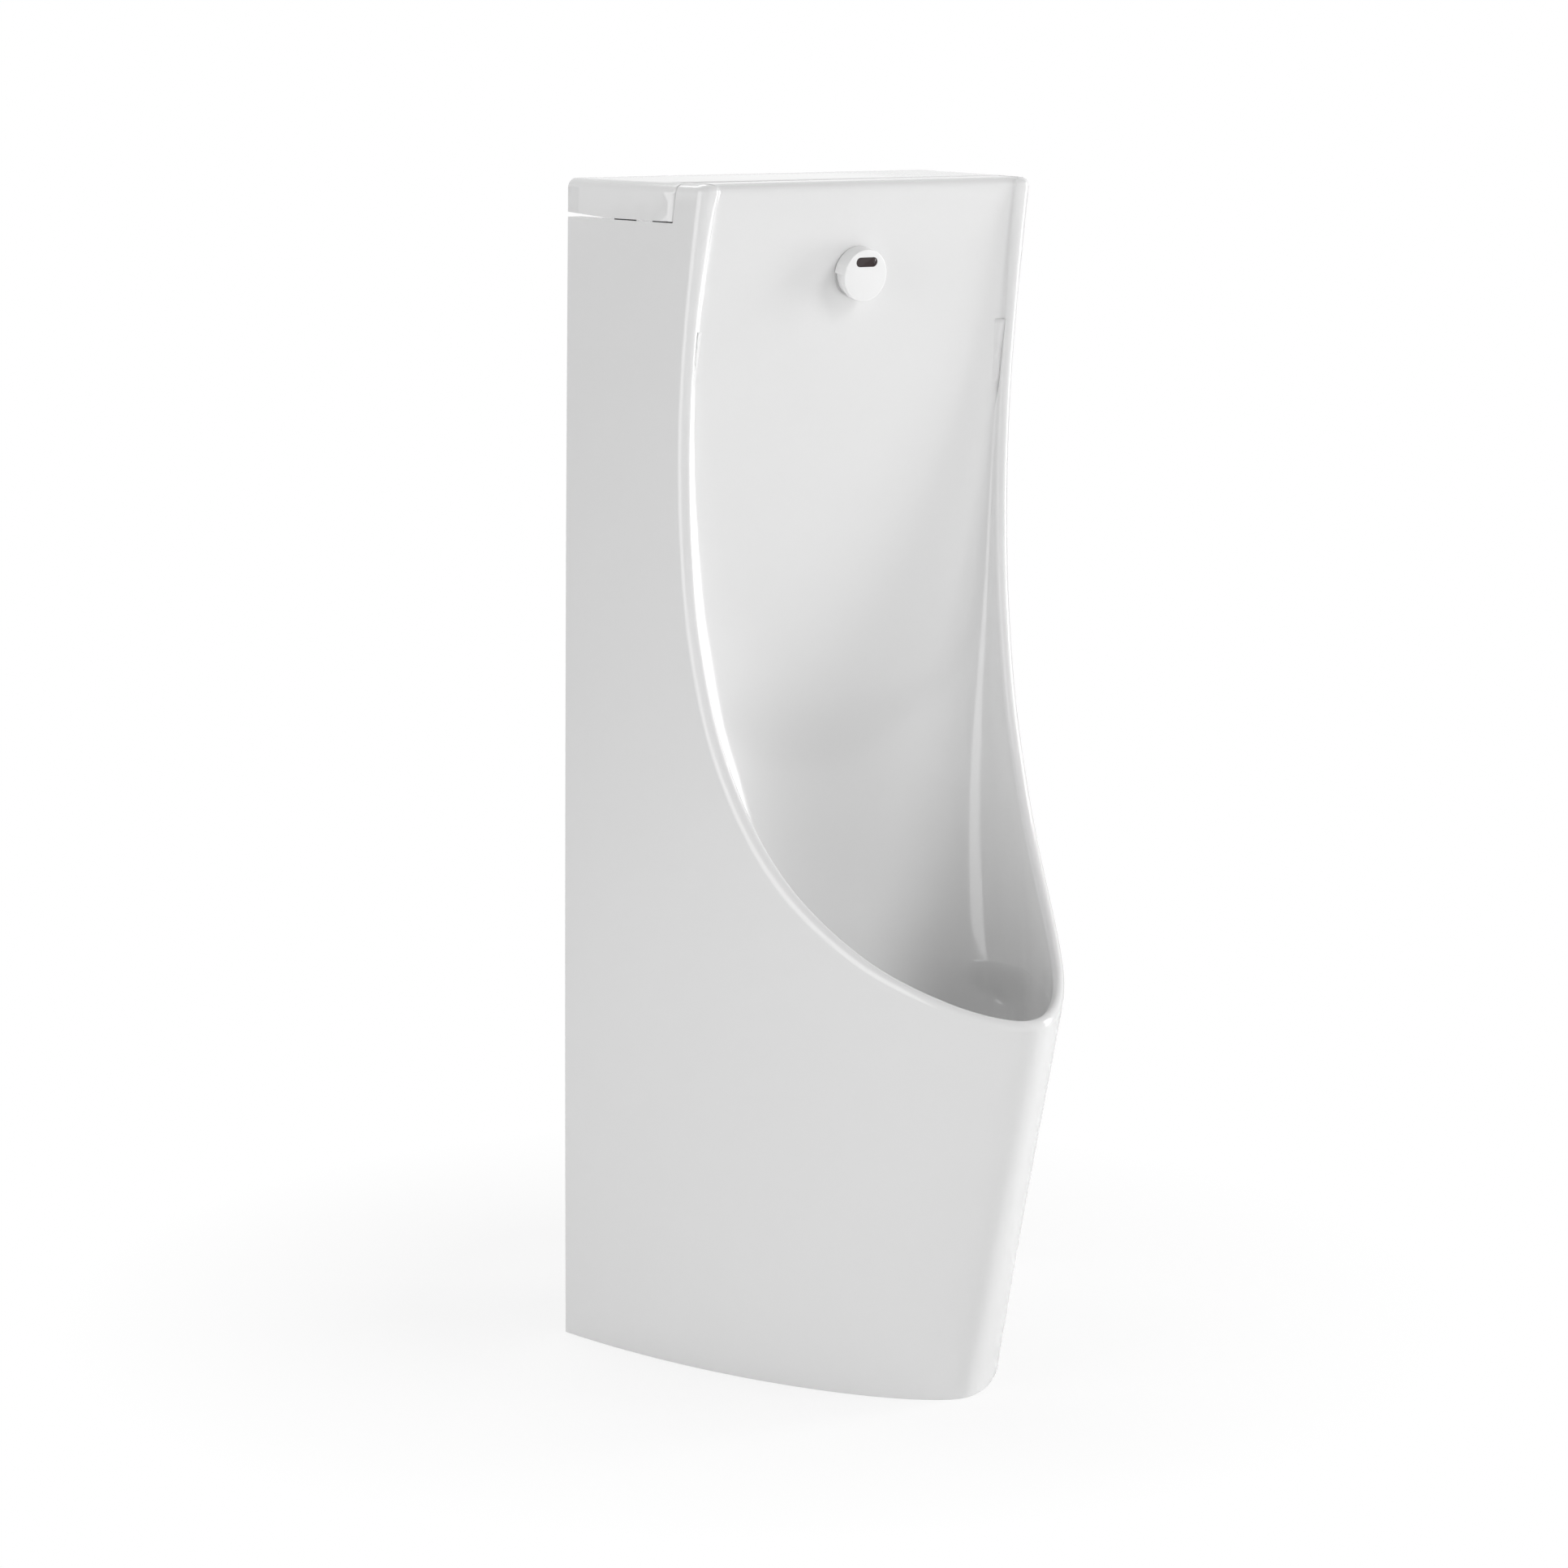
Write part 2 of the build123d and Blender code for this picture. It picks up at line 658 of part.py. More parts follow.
for name, side in (("infrared_emitter", -1), ("infrared_receiver", 1)):
    diode_plane = on_head(side * DIODE_OFFSET, WINDOW_RISE)
    save(name, tube(diode_plane, DIODE_RADIUS, 0, DIODE_LENGTH, BOARD_THICKNESS - BOARD_BACK))

# Rubber gasket that follows the forehead's curve
with BuildPart() as head_gasket:
    with BuildSketch(head.offset(-DISC_THICKNESS)):
        head_oval(-HOOD_WALL / 2)
        Circle(HEAD_BORE, mode=Mode.SUBTRACT)
    extrude(amount=DISC_THICKNESS - HEAD_LENGTH - WALL / 2)
    add(gasket_room, mode=Mode.INTERSECT)
    add(head_room.moved(Location((0, GASKET_GAP, 0))), mode=Mode.SUBTRACT)
save("head_gasket", head_gasket.part)

# Threaded shank through the forehead, with its washer and lock nut behind the wall
save("spreader_shank", tube(shank_plane, SHANK_RADIUS, SHANK_BORE, SHANK_END - SHANK_START, -SHANK_END))

with BuildPart() as shank_washer:
    with BuildSketch(head.offset(-SPOT_FACE)):
        Circle(WASHER_RADIUS)
        with Locations((0, -SHANK_DROP)):
            Circle(SHANK_RADIUS + FIT_GAP, mode=Mode.SUBTRACT)
        with Locations((0, CABLE_RISE + WASHER_RADIUS / 2)):
            Rectangle(2 * SENSOR_CABLE + 1, WASHER_RADIUS + 2 * SENSOR_CABLE + 1, mode=Mode.SUBTRACT)
    extrude(amount=-WASHER_THICKNESS)
save("shank_washer", shank_washer.part)

nut_start = -SPOT_FACE - WASHER_THICKNESS - SHANK_NUT_THICKNESS
nut_bore = SHANK_RADIUS + FIT_GAP
save("shank_nut", hexagon_ring(shank_plane, SHANK_NUT_HALF, nut_bore, SHANK_NUT_THICKNESS, nut_start))

# Elbow that turns the shank's water way down to the flush hose
elbow_plane = shank_plane.offset(-ELBOW_CENTRE)
elbow = elbow_plane.origin
with BuildPart() as shank_elbow:
    add(tube(elbow_plane, ELBOW_RADIUS, 0, ELBOW_CENTRE - SHANK_END + ELBOW_CUP))
    with Locations(elbow):
        Sphere(ELBOW_RADIUS)
    add(tube(Plane.XY, HOSE_RADIUS, 0, ELBOW_DROP).moved(Location(elbow - Vector(0, 0, ELBOW_DROP))))
    cup_bottom = ELBOW_CENTRE - SHANK_END - FIT_GAP
    add(tube(elbow_plane, SHANK_RADIUS + RUN_GAP, 0, SHANK_END, cup_bottom), mode=Mode.SUBTRACT)
    add(tube(elbow_plane, HOSE_BORE, 0, SHANK_END), mode=Mode.SUBTRACT)
    bore_end = Location(elbow - Vector(0, 0, ELBOW_DROP + 1))
    add(tube(Plane.XY, HOSE_BORE, 0, ELBOW_DROP + 1).moved(bore_end), mode=Mode.SUBTRACT)
save("shank_elbow", shank_elbow.part)

# Steel service shelf across the rear space, screwed to the ceramic ledges
with BuildPart() as service_shelf:
    shelf_top = LEDGE_TOP + SHELF_THICKNESS
    add(block(-SHELF_HALF_WIDTH, SHELF_HALF_WIDTH, *SHELF_DEPTH, LEDGE_TOP, shelf_top))
    back = SHELF_DEPTH[0]
    lip_half = SHELF_HALF_WIDTH - SHELF_LIP
    add(block(-lip_half, lip_half, back, back + SHELF_THICKNESS, shelf_top, LEDGE_TOP + SHELF_LIP))
    with BuildSketch(Plane.XY.offset(LEDGE_TOP)):
        with Locations((SPOUT_X, -WATER_DEPTH)):
            Circle(HOSE_RADIUS + HOSE_ROOM)
        with Locations((-SCREW_X, -SCREW_DEPTH), (SCREW_X, -SCREW_DEPTH)):
            Circle(SCREW_RADIUS + SCREW_GAP)
    extrude(amount=SHELF_THICKNESS, mode=Mode.SUBTRACT)
save("service_shelf", service_shelf.part)

with BuildPart() as shelf_screws:
    for side in (-1, 1):
        plane = Plane((side * SCREW_X, -SCREW_DEPTH, shelf_top))
        add(tube(plane, SCREW_RADIUS, 0, SCREW_LENGTH, -SCREW_LENGTH))
        add(tube(plane, SCREW_HEAD, 0, SCREW_HEAD_HEIGHT))
save("shelf_screws", shelf_screws.part)

# Plastic saddles that cradle the water line on the shelf
water = Plane((0, -WATER_DEPTH, WATER_HEIGHT), z_dir=(1, 0, 0))
with BuildPart() as valve_saddles:
    for middle, radius in ((SADDLE_X[0], BARREL_RADIUS), (SADDLE_X[1], OUTLET_RADIUS)):
        half = SADDLE_WIDTH / 2
        near, far_side = WATER_DEPTH - radius - SADDLE_WALL, WATER_DEPTH + radius + SADDLE_WALL
        add(block(middle - half, middle + half, near, far_side, shelf_top, WATER_HEIGHT))
        add(tube(water, radius + RUN_GAP, 0, SADDLE_WIDTH + 2, middle - half - 1), mode=Mode.SUBTRACT)
save("valve_saddles", valve_saddles.part)

# Stop valve: barrel with filter chamber, inlet branch to the wall and a boss for the plug
inlet = Plane((INLET_X, -WATER_DEPTH, WATER_HEIGHT), z_dir=(0, 1, 0))
plug = Plane((PLUG_X, -WATER_DEPTH, WATER_HEIGHT))
branch_length = WATER_DEPTH - BRANCH_END
with BuildPart() as stop_valve_body:
    add(tube(water, BARREL_RADIUS, 0, COUPLING_X - FILTER_END, FILTER_END))
    add(tube(inlet, BRANCH_RADIUS, 0, branch_length))
    add(tube(plug, BOSS_RADIUS, 0, BOSS_TOP))
    add(tube(water, BARREL_BORE, 0, COUPLING_X - FILTER_END, FILTER_END), mode=Mode.SUBTRACT)
    add(tube(water, FILTER_RADIUS, 0, FILTER_LENGTH, FILTER_END), mode=Mode.SUBTRACT)
    add(tube(inlet, BRANCH_BORE, 0, branch_length), mode=Mode.SUBTRACT)
    plug_bottom = -BARREL_RADIUS + 2
    add(tube(plug, PLUG_RADIUS + RUN_GAP, 0, BOSS_TOP - plug_bottom, plug_bottom), mode=Mode.SUBTRACT)
save("stop_valve_body", stop_valve_body.part)

# Plug with a cross hole and a stem: the cross hole lies along the water line when open
with BuildPart() as stop_plug:
    add(tube(plug, PLUG_RADIUS, 0, PLUG_TOP - plug_bottom - RUN_GAP, plug_bottom + RUN_GAP))
    add(tube(plug, STEM_RADIUS, 0, LEVER_TOP - PLUG_TOP, PLUG_TOP))
    add(tube(water, BARREL_BORE - 0.5, 0, 3 * PLUG_RADIUS, PLUG_X - 1.5 * PLUG_RADIUS), mode=Mode.SUBTRACT)
save("stop_plug", stop_plug.part)

with BuildPart() as stop_gland:
    add(tube(plug, PLUG_RADIUS, STEM_RADIUS + RUN_GAP, BOSS_TOP - PLUG_TOP - FIT_GAP, PLUG_TOP + FIT_GAP))
    add(hexagon_ring(plug, GLAND_HALF, STEM_RADIUS + RUN_GAP, GLAND_HEIGHT, BOSS_TOP))
save("stop_gland", stop_gland.part)

# Lever on the stem, pointing away from the solenoid valve when open
with BuildPart() as stop_lever:
    lever_low = LEVER_TOP - LEVER_THICKNESS
    with BuildSketch(plug.offset(lever_low)):
        Circle(LEVER_HUB)
        with Locations((-LEVER_LENGTH / 2, 0)):
            SlotOverall(LEVER_LENGTH, LEVER_WIDTH)
        Circle(STEM_RADIUS + LEVER_GAP, mode=Mode.SUBTRACT)
    extrude(amount=LEVER_THICKNESS)
save("stop_lever", stop_lever.part)

# Filter screen in the chamber, held by a hexagonal cap
screen_radius = FILTER_RADIUS - SCREEN_ROOM
screen_bore = screen_radius - SCREEN_THICKNESS
save("filter_screen", tube(water, screen_radius, screen_bore, FILTER_LENGTH - 2, FILTER_END + 1))

with BuildPart() as filter_cap:
    add(hexagon_ring(water, CAP_HALF, 0, CAP_LENGTH, FILTER_END - CAP_LENGTH))
    add(tube(water, FILTER_RADIUS - FIT_GAP, screen_radius + FIT_GAP, CAP_SPIGOT, FILTER_END))
save("filter_cap", filter_cap.part)

# Union nut and seal where the wall's supply pipe screws in
with BuildPart() as inlet_nut:
    nut_length = BRANCH_END + NUT_OVERLAP - INLET_FACE
    add(hexagon_ring(inlet, NUT_HALF, BRANCH_RADIUS + FIT_GAP, nut_length, branch_length - NUT_OVERLAP))
    add(tube(inlet, INLET_THREAD + SEAL_GROOVE, 0, SEAL_ROOM, branch_length), mode=Mode.SUBTRACT)
    thread_length = BRANCH_END - INLET_FACE - SEAL_ROOM
    add(tube(inlet, INLET_THREAD, 0, thread_length, branch_length + SEAL_ROOM), mode=Mode.SUBTRACT)
save("inlet_nut", inlet_nut.part)
seal_radius = INLET_THREAD + SEAL_GROOVE - FIT_GAP
save("inlet_seal", tube(inlet, seal_radius, BRANCH_BORE, SEAL_ROOM - FIT_GAP, branch_length))

# Coupling ring over the joint between stop valve and solenoid valve
ring_start = COUPLING_X - COUPLING_LENGTH / 2
save("coupling_nut", hexagon_ring(water, COUPLING_HALF, BARREL_RADIUS + FIT_GAP, COUPLING_LENGTH, ring_start))

# Solenoid valve: body with diaphragm chamber and a spout turned down to the hose
chamber = Plane((CHAMBER_X, -WATER_DEPTH, WATER_HEIGHT))
spout = Plane((SPOUT_X, -WATER_DEPTH, WATER_HEIGHT), z_dir=(0, 0, -1))
screw_places = [(SCREW_CIRCLE * x, SCREW_CIRCLE * y) for x in (-0.707, 0.707) for y in (-0.707, 0.707)]
with BuildPart() as solenoid_body:
    add(tube(water, BARREL_RADIUS, 0, CHAMBER_X - COUPLING_X, COUPLING_X))
    add(tube(chamber, CHAMBER_RADIUS, 0, CHAMBER_TOP + BARREL_RADIUS, -BARREL_RADIUS))
    add(tube(water, OUTLET_RADIUS, 0, SPOUT_X - CHAMBER_X, CHAMBER_X))
    with Locations(spout.origin):
        Sphere(OUTLET_RADIUS)
    add(tube(spout, HOSE_RADIUS, 0, SPOUT_DROP))
    add(tube(water, BARREL_BORE, 0, CHAMBER_X - COUPLING_X - DIAPHRAGM_BORE, COUPLING_X), mode=Mode.SUBTRACT)
    cavity_low = CHAMBER_TOP - DIAPHRAGM_THICKNESS - CAVITY_DEPTH
    add(tube(chamber, CAVITY_RADIUS, DIAPHRAGM_BORE, CAVITY_DEPTH + 1, cavity_low), mode=Mode.SUBTRACT)
    recess = CHAMBER_TOP - DIAPHRAGM_THICKNESS
    add(tube(chamber, DIAPHRAGM_RADIUS + FIT_GAP, 0, DIAPHRAGM_THICKNESS, recess), mode=Mode.SUBTRACT)
    add(tube(chamber, HOSE_BORE, 0, recess, 0), mode=Mode.SUBTRACT)
    add(tube(water, HOSE_BORE, 0, SPOUT_X - CHAMBER_X, CHAMBER_X), mode=Mode.SUBTRACT)
    add(tube(spout, HOSE_BORE, 0, SPOUT_DROP), mode=Mode.SUBTRACT)
    for x, y in screw_places:
        hole = Plane((CHAMBER_X + x, -WATER_DEPTH + y, WATER_HEIGHT + CHAMBER_TOP))
        add(tube(hole, SMALL_SCREW + FIT_GAP, 0, SMALL_SCREW_LENGTH, -SMALL_SCREW_LENGTH), mode=Mode.SUBTRACT)
save("solenoid_body", solenoid_body.part)
save("diaphragm", tube(chamber, DIAPHRAGM_RADIUS, 0, DIAPHRAGM_THICKNESS, recess))

# Bonnet with the closed tube in which the plunger slides
tube_top = CHAMBER_TOP + PLUNGER_REST + PLUNGER_LENGTH + SPRING_LENGTH
with BuildPart() as valve_bonnet:
    add(tube(chamber, CHAMBER_RADIUS, 0, BONNET_THICKNESS, CHAMBER_TOP))
    add(tube(chamber, TUBE_RADIUS, 0, tube_top + TUBE_END - CHAMBER_TOP, CHAMBER_TOP))
    add(tube(chamber, PLUNGER_RADIUS + RUN_GAP, 0, tube_top - CHAMBER_TOP, CHAMBER_TOP), mode=Mode.SUBTRACT)
    for x, y in screw_places:
        hole = Plane((CHAMBER_X + x, -WATER_DEPTH + y, WATER_HEIGHT + CHAMBER_TOP))
        add(tube(hole, SMALL_SCREW + FIT_GAP, 0, BONNET_THICKNESS), mode=Mode.SUBTRACT)
save("valve_bonnet", valve_bonnet.part)

with BuildPart() as bonnet_screws:
    for x, y in screw_places:
        seat = Plane((CHAMBER_X + x, -WATER_DEPTH + y, WATER_HEIGHT + CHAMBER_TOP + BONNET_THICKNESS))
        shaft = BONNET_THICKNESS + SMALL_SCREW_LENGTH - 1
        add(tube(seat, SMALL_SCREW, 0, shaft, -shaft))
        add(tube(seat, SMALL_SCREW_HEAD, 0, 2))
save("bonnet_screws", bonnet_screws.part)

plunger_low = CHAMBER_TOP + PLUNGER_REST
save("plunger", tube(chamber, PLUNGER_RADIUS, 0, PLUNGER_LENGTH, plunger_low))
spring_low = plunger_low + PLUNGER_LENGTH
spring_bore = SPRING_RADIUS - 2 * SPRING_WIRE
save("plunger_spring", tube(chamber, SPRING_RADIUS, spring_bore, SPRING_LENGTH, spring_low))

coil_low = CHAMBER_TOP + BONNET_THICKNESS
save("solenoid_coil", tube(chamber, COIL_RADIUS, TUBE_RADIUS + FIT_GAP, COIL_HEIGHT, coil_low))
coil_nut_height = tube_top + TUBE_END - coil_low - COIL_HEIGHT
coil_top = coil_low + COIL_HEIGHT
save("coil_nut", hexagon_ring(chamber, COIL_NUT_HALF, TUBE_RADIUS + FIT_GAP, coil_nut_height, coil_top))

# Flush hose from the valve's spout, down through the shelf and up to the elbow
hose_start = Vector(SPOUT_X, -WATER_DEPTH, WATER_HEIGHT - SPOUT_DROP)
hose_end = elbow - Vector(0, 0, ELBOW_DROP)
hose_points = [hose_start, Vector(SPOUT_X, -WATER_DEPTH, HOSE_LOW), Vector(0, elbow.Y, HOSE_LOW), hose_end]
save("flush_hose", pipe_along(hose_points, bend_radii(hose_points), HOSE_RADIUS, HOSE_BORE))

with BuildPart() as hose_nuts:
    for end in (hose_start, hose_end):
        add(hexagon_ring(Plane(end), HOSE_NUT_HALF, HOSE_RADIUS + FIT_GAP, HOSE_NUT, -HOSE_NUT / 2))
save("hose_nuts", hose_nuts.part)

# Battery box with four cells, contacts, control board and a lift-off cover
box_low_x, box_high_x = BOX_X - BOX_WIDTH / 2, BOX_X + BOX_WIDTH / 2
box_back, box_front = BOX_DEPTH
box_top = shelf_top + BOX_HEIGHT
board_depth = box_front - BOX_WALL - BOARD_SPACE
entry_height = box_top - CABLE_ENTRY
with BuildPart() as battery_box:
    add(block(box_low_x, box_high_x, box_back, box_front, shelf_top, box_top))
    inner_x = (box_low_x + BOX_WALL, box_high_x - BOX_WALL)
    inner_depth = (box_back + BOX_WALL, box_front - BOX_WALL)
    add(block(*inner_x, *inner_depth, shelf_top + BOX_WALL, box_top), mode=Mode.SUBTRACT)
    entry = Plane((BOX_X, -box_front - 1, entry_height), z_dir=(0, 1, 0))
    add(tube(entry, SENSOR_CABLE + FIT_GAP, 0, BOX_WALL + 2), mode=Mode.SUBTRACT)
    side_entry = Plane((box_low_x - 1, -WATER_DEPTH, entry_height), z_dir=(1, 0, 0))
    add(tube(side_entry, VALVE_CABLE + FIT_GAP, 0, BOX_WALL + 2), mode=Mode.SUBTRACT)
save("battery_box", battery_box.part)

cell_low = shelf_top + BOX_WALL + CONTACT_HEIGHT
cell_rows = [(i - (CELL_COUNT - 1) / 2) * CELL_PITCH for i in range(CELL_COUNT)]
cell_places = [(BOX_X + row, -inner_depth[0] - CELL_PITCH / 2) for row in cell_rows]
cell_top = cell_low + CELL_LENGTH
with BuildPart() as battery_cells:
    for x, y in cell_places:
        add(tube(Plane((x, y, cell_low)), CELL_RADIUS, 0, CELL_LENGTH))
        add(tube(Plane((x, y, cell_top)), CELL_NUB, 0, 1))
save("battery_cells", battery_cells.part)

with BuildPart() as cell_contacts:
    for x, y in cell_places:
        add(tube(Plane((x, y, shelf_top + BOX_WALL)), CELL_RADIUS - 3, CELL_RADIUS - 4, CONTACT_HEIGHT))
save("cell_contacts", cell_contacts.part)

board_low = shelf_top + BOX_WALL
board_front = board_depth + BOARD_THICKNESS
save("control_board", block(*inner_x, board_depth, board_front, board_low, board_low + CONTROL_BOARD_HEIGHT))

with BuildPart() as battery_cover:
    add(block(box_low_x, box_high_x, box_back, box_front, box_top, box_top + COVER_PLATE))
    lip_x = (inner_x[0] + FIT_GAP, inner_x[1] - FIT_GAP)
    lip_depth = (inner_depth[0] + FIT_GAP, inner_depth[1] - FIT_GAP)
    add(block(*lip_x, *lip_depth, box_top - COVER_LIP, box_top))
save("battery_cover", battery_cover.part)

with BuildPart() as contact_plates:
    for x, y in cell_places:
        add(tube(Plane((x, y, cell_top + 1)), CELL_RADIUS - 1, 0, box_top - COVER_LIP - cell_top - 1))
save("contact_plates", contact_plates.part)

# Cable from the head to the control board, and cable from the board to the coil
cable_start = cable_plane.from_local_coords((0, 0, -BOARD_BACK))
cable_behind = cable_plane.from_local_coords((0, 0, -CABLE_STRAIGHT))
cable_points = [cable_start, cable_behind] + [Vector(*point) for point in SENSOR_CABLE_ROUTE]
cable_points.append(Vector(BOX_X, SENSOR_CABLE_ROUTE[-1][1] + BOARD_SPACE, entry_height))
cable_points.append(Vector(BOX_X, -board_front, entry_height))
save("sensor_cable", pipe_along(cable_points, bend_radii(cable_points), SENSOR_CABLE, 0))

coil_side = CHAMBER_X + COIL_RADIUS
lead_height = WATER_HEIGHT + coil_low + COIL_HEIGHT / 2
lead_points = [
    Vector(coil_side, -WATER_DEPTH, lead_height),
    Vector(coil_side + LEAD_STRAIGHT, -WATER_DEPTH, lead_height),
    Vector(box_low_x - LEAD_STRAIGHT, -WATER_DEPTH, entry_height),
    Vector(box_low_x + BOX_WALL + 1, -WATER_DEPTH, entry_height),
]
save("valve_cable", pipe_along(lead_points, bend_radii(lead_points), VALVE_CABLE, 0))

# Waste: flanged tail through the sump's floor, with gaskets above and below and a lock nut
drain = Plane((0, -DRAIN_DEPTH, SUMP_FLOOR))
save("waste_gasket", tube(drain, FLANGE_RADIUS, DRAIN_BORE, GASKET))
with BuildPart() as waste_tail:
    add(tube(drain, FLANGE_RADIUS, 0, FLANGE_THICKNESS, GASKET))
    thread_end = -WALL - GASKET - WASTE_NUT - THREAD_SPARE
    add(tube(drain, THREAD_RADIUS, 0, GASKET - thread_end, thread_end))
    add(tube(drain, PIPE_RADIUS, 0, thread_end - TAIL_END + SUMP_FLOOR, TAIL_END - SUMP_FLOOR))
    add(tube(drain, PIPE_BORE, 0, SUMP_FLOOR, TAIL_END - SUMP_FLOOR), mode=Mode.SUBTRACT)
    seat_low = GASKET + FLANGE_THICKNESS - STRAINER_SEAT
    add(tube(drain, STRAINER_RADIUS + FIT_GAP, 0, STRAINER_THICKNESS, seat_low), mode=Mode.SUBTRACT)
save("waste_tail", waste_tail.part)
save("waste_seal", tube(drain, FLANGE_RADIUS, THREAD_RADIUS + FIT_GAP, 2 * GASKET, -WALL - 2 * GASKET))
nut_low = -WALL - 2 * GASKET - WASTE_NUT
save("waste_nut", hexagon_ring(drain, WASTE_NUT_HALF, THREAD_RADIUS + FIT_GAP, WASTE_NUT, nut_low))

# Strainer: a round plate with drain holes, a knob to lift it by and three legs that guide it in the tail
seat = drain.offset(GASKET + FLANGE_THICKNESS - STRAINER_SEAT)
with BuildPart() as drain_strainer:
    with BuildSketch(seat):
        Circle(STRAINER_RADIUS)
        for radius, count in STRAINER_HOLES:
            with PolarLocations(radius, count):
                Circle(STRAINER_HOLE, mode=Mode.SUBTRACT)
    extrude(amount=STRAINER_THICKNESS)
    add(tube(seat, KNOB_RADIUS, 0, KNOB_HEIGHT))
    fillet(drain_strainer.edges().sort_by(Axis.Z)[-1], KNOB_EDGE)
    with BuildSketch(seat):
        with PolarLocations(LEG_CIRCLE, 3):
            Circle(LEG_RADIUS)
    extrude(amount=-LEG_LENGTH)
save("drain_strainer", drain_strainer.part)

# Trap: a bend that holds water, then an arm over its crown and down to the floor outlet
tail_y, crown_y, outlet_y = -DRAIN_DEPTH, 2 * TRAP_BEND - DRAIN_DEPTH, -OUTLET_DEPTH
low_bend, high_bend = TRAP_LOW - TRAP_BEND, TRAP_HIGH + TRAP_BEND
turns = [TRAP_BEND - 0.1, TRAP_BEND - 0.1]
sockets = [(tail_y, TAIL_END - SOCKET_START), (crown_y, TRAP_LOW + CROWN_RISE)]
boss_face = Plane((0, (tail_y + crown_y) / 2, low_bend - PIPE_RADIUS - BOSS_DROP))
with BuildPart() as trap_bend:
    ends = [(0, y, level) for y, level in sockets]
    points = [ends[0], (0, tail_y, low_bend), (0, crown_y, low_bend), ends[1]]
    add(pipe_along(points, turns, PIPE_RADIUS, 0))
    for y, level in sockets:
        add(tube(Plane((0, y, level)), SOCKET_RADIUS, 0, SOCKET_LENGTH))
    add(tube(boss_face, CLEANOUT_RADIUS + CLEANOUT_WALL, 0, PIPE_RADIUS))
    add(pipe_along(points, turns, PIPE_BORE, 0), mode=Mode.SUBTRACT)
    for y, level in sockets:
        add(tube(Plane((0, y, level)), PIPE_BORE, 0, SOCKET_LENGTH), mode=Mode.SUBTRACT)
        socket = Plane((0, y, level + SOCKET_START))
        add(tube(socket, PIPE_RADIUS + SLIP_GAP, 0, SOCKET_LENGTH), mode=Mode.SUBTRACT)
    add(tube(boss_face, CLEANOUT_RADIUS, 0, PIPE_RADIUS), mode=Mode.SUBTRACT)
save("trap_bend", trap_bend.part)

with BuildPart() as cleanout_plug:
    add(hexagon_ring(boss_face, CLEANOUT_RADIUS + CLEANOUT_RIM, 0, CLEANOUT_HEAD, -CLEANOUT_HEAD))
    add(tube(boss_face, CLEANOUT_RADIUS - FIT_GAP, 0, BOSS_DROP))
save("cleanout_plug", cleanout_plug.part)

arm_start = sockets[1][1] + SOCKET_START
leg = TRAP_HIGH - 1
points = [(0, crown_y, arm_start), (0, crown_y, high_bend), (0, outlet_y, high_bend), (0, outlet_y, leg)]
with BuildPart() as trap_arm:
    add(pipe_along(points, turns, PIPE_RADIUS, PIPE_BORE))
    add(tube(Plane((0, outlet_y, 0)), PIPE_RADIUS, PIPE_BORE, leg))
save("trap_arm", trap_arm.part)

with BuildPart() as slip_nuts:
    for y, level in sockets:
        nut = Plane((0, y, level + SOCKET_LENGTH - NUT_HEIGHT))
        add(hexagon_ring(nut, SLIP_NUT_HALF, SOCKET_RADIUS + SLIP_GAP, NUT_HEIGHT))
        add(hexagon_ring(nut, SLIP_NUT_HALF, PIPE_RADIUS + SLIP_GAP, NUT_CAP, NUT_HEIGHT))
save("slip_nuts", slip_nuts.part)

# Rubber seal and flange where the outlet meets the floor
outlet = Plane((0, outlet_y, 0))
save("floor_seal", tube(outlet, SEAL_RADIUS, PIPE_RADIUS + FIT_GAP, SEAL_HEIGHT))
with BuildPart() as floor_flange:
    add(tube(outlet, FLOOR_FLANGE_RADIUS, PIPE_RADIUS + FIT_GAP, FLOOR_FLANGE_THICKNESS, SEAL_HEIGHT))
    add(tube(outlet, PIPE_RADIUS + COLLAR_WALL, PIPE_RADIUS + FIT_GAP, COLLAR_HEIGHT, SEAL_HEIGHT))
    add(tube(outlet, FLOOR_FLANGE_RADIUS, SEAL_RADIUS + FIT_GAP, SEAL_HEIGHT))
    with BuildSketch(outlet.offset(SEAL_HEIGHT)):
        with Locations((-FLANGE_HOLE_SPACING / 2, 0), (FLANGE_HOLE_SPACING / 2, 0)):
            Circle(FLANGE_HOLE)
    extrude(amount=FLOOR_FLANGE_THICKNESS, mode=Mode.SUBTRACT)
save("floor_flange", floor_flange.part)
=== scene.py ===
"""Looks of a floor-standing urinal with a sensor flush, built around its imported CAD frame."""

import json
import math

import bmesh
import bpy
import numpy as np
from bpy.props import FloatProperty, FloatVectorProperty, PointerProperty
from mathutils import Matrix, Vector


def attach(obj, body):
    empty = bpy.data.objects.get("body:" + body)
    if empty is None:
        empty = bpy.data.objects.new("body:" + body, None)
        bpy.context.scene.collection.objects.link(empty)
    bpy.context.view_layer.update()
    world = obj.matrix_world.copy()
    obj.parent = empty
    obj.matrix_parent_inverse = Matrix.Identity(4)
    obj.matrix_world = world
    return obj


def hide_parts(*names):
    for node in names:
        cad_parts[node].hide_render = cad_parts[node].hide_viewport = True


bl_info = {
    "name": "Floor-standing urinal",
    "version": (1, 0, 0),
    "blender": (4, 5, 0),
    "location": "3D View > Sidebar > Urinal",
    "description": "Glazed body, lift-off cover, sensor head, fittings and studio",
    "category": "Add Mesh",
}

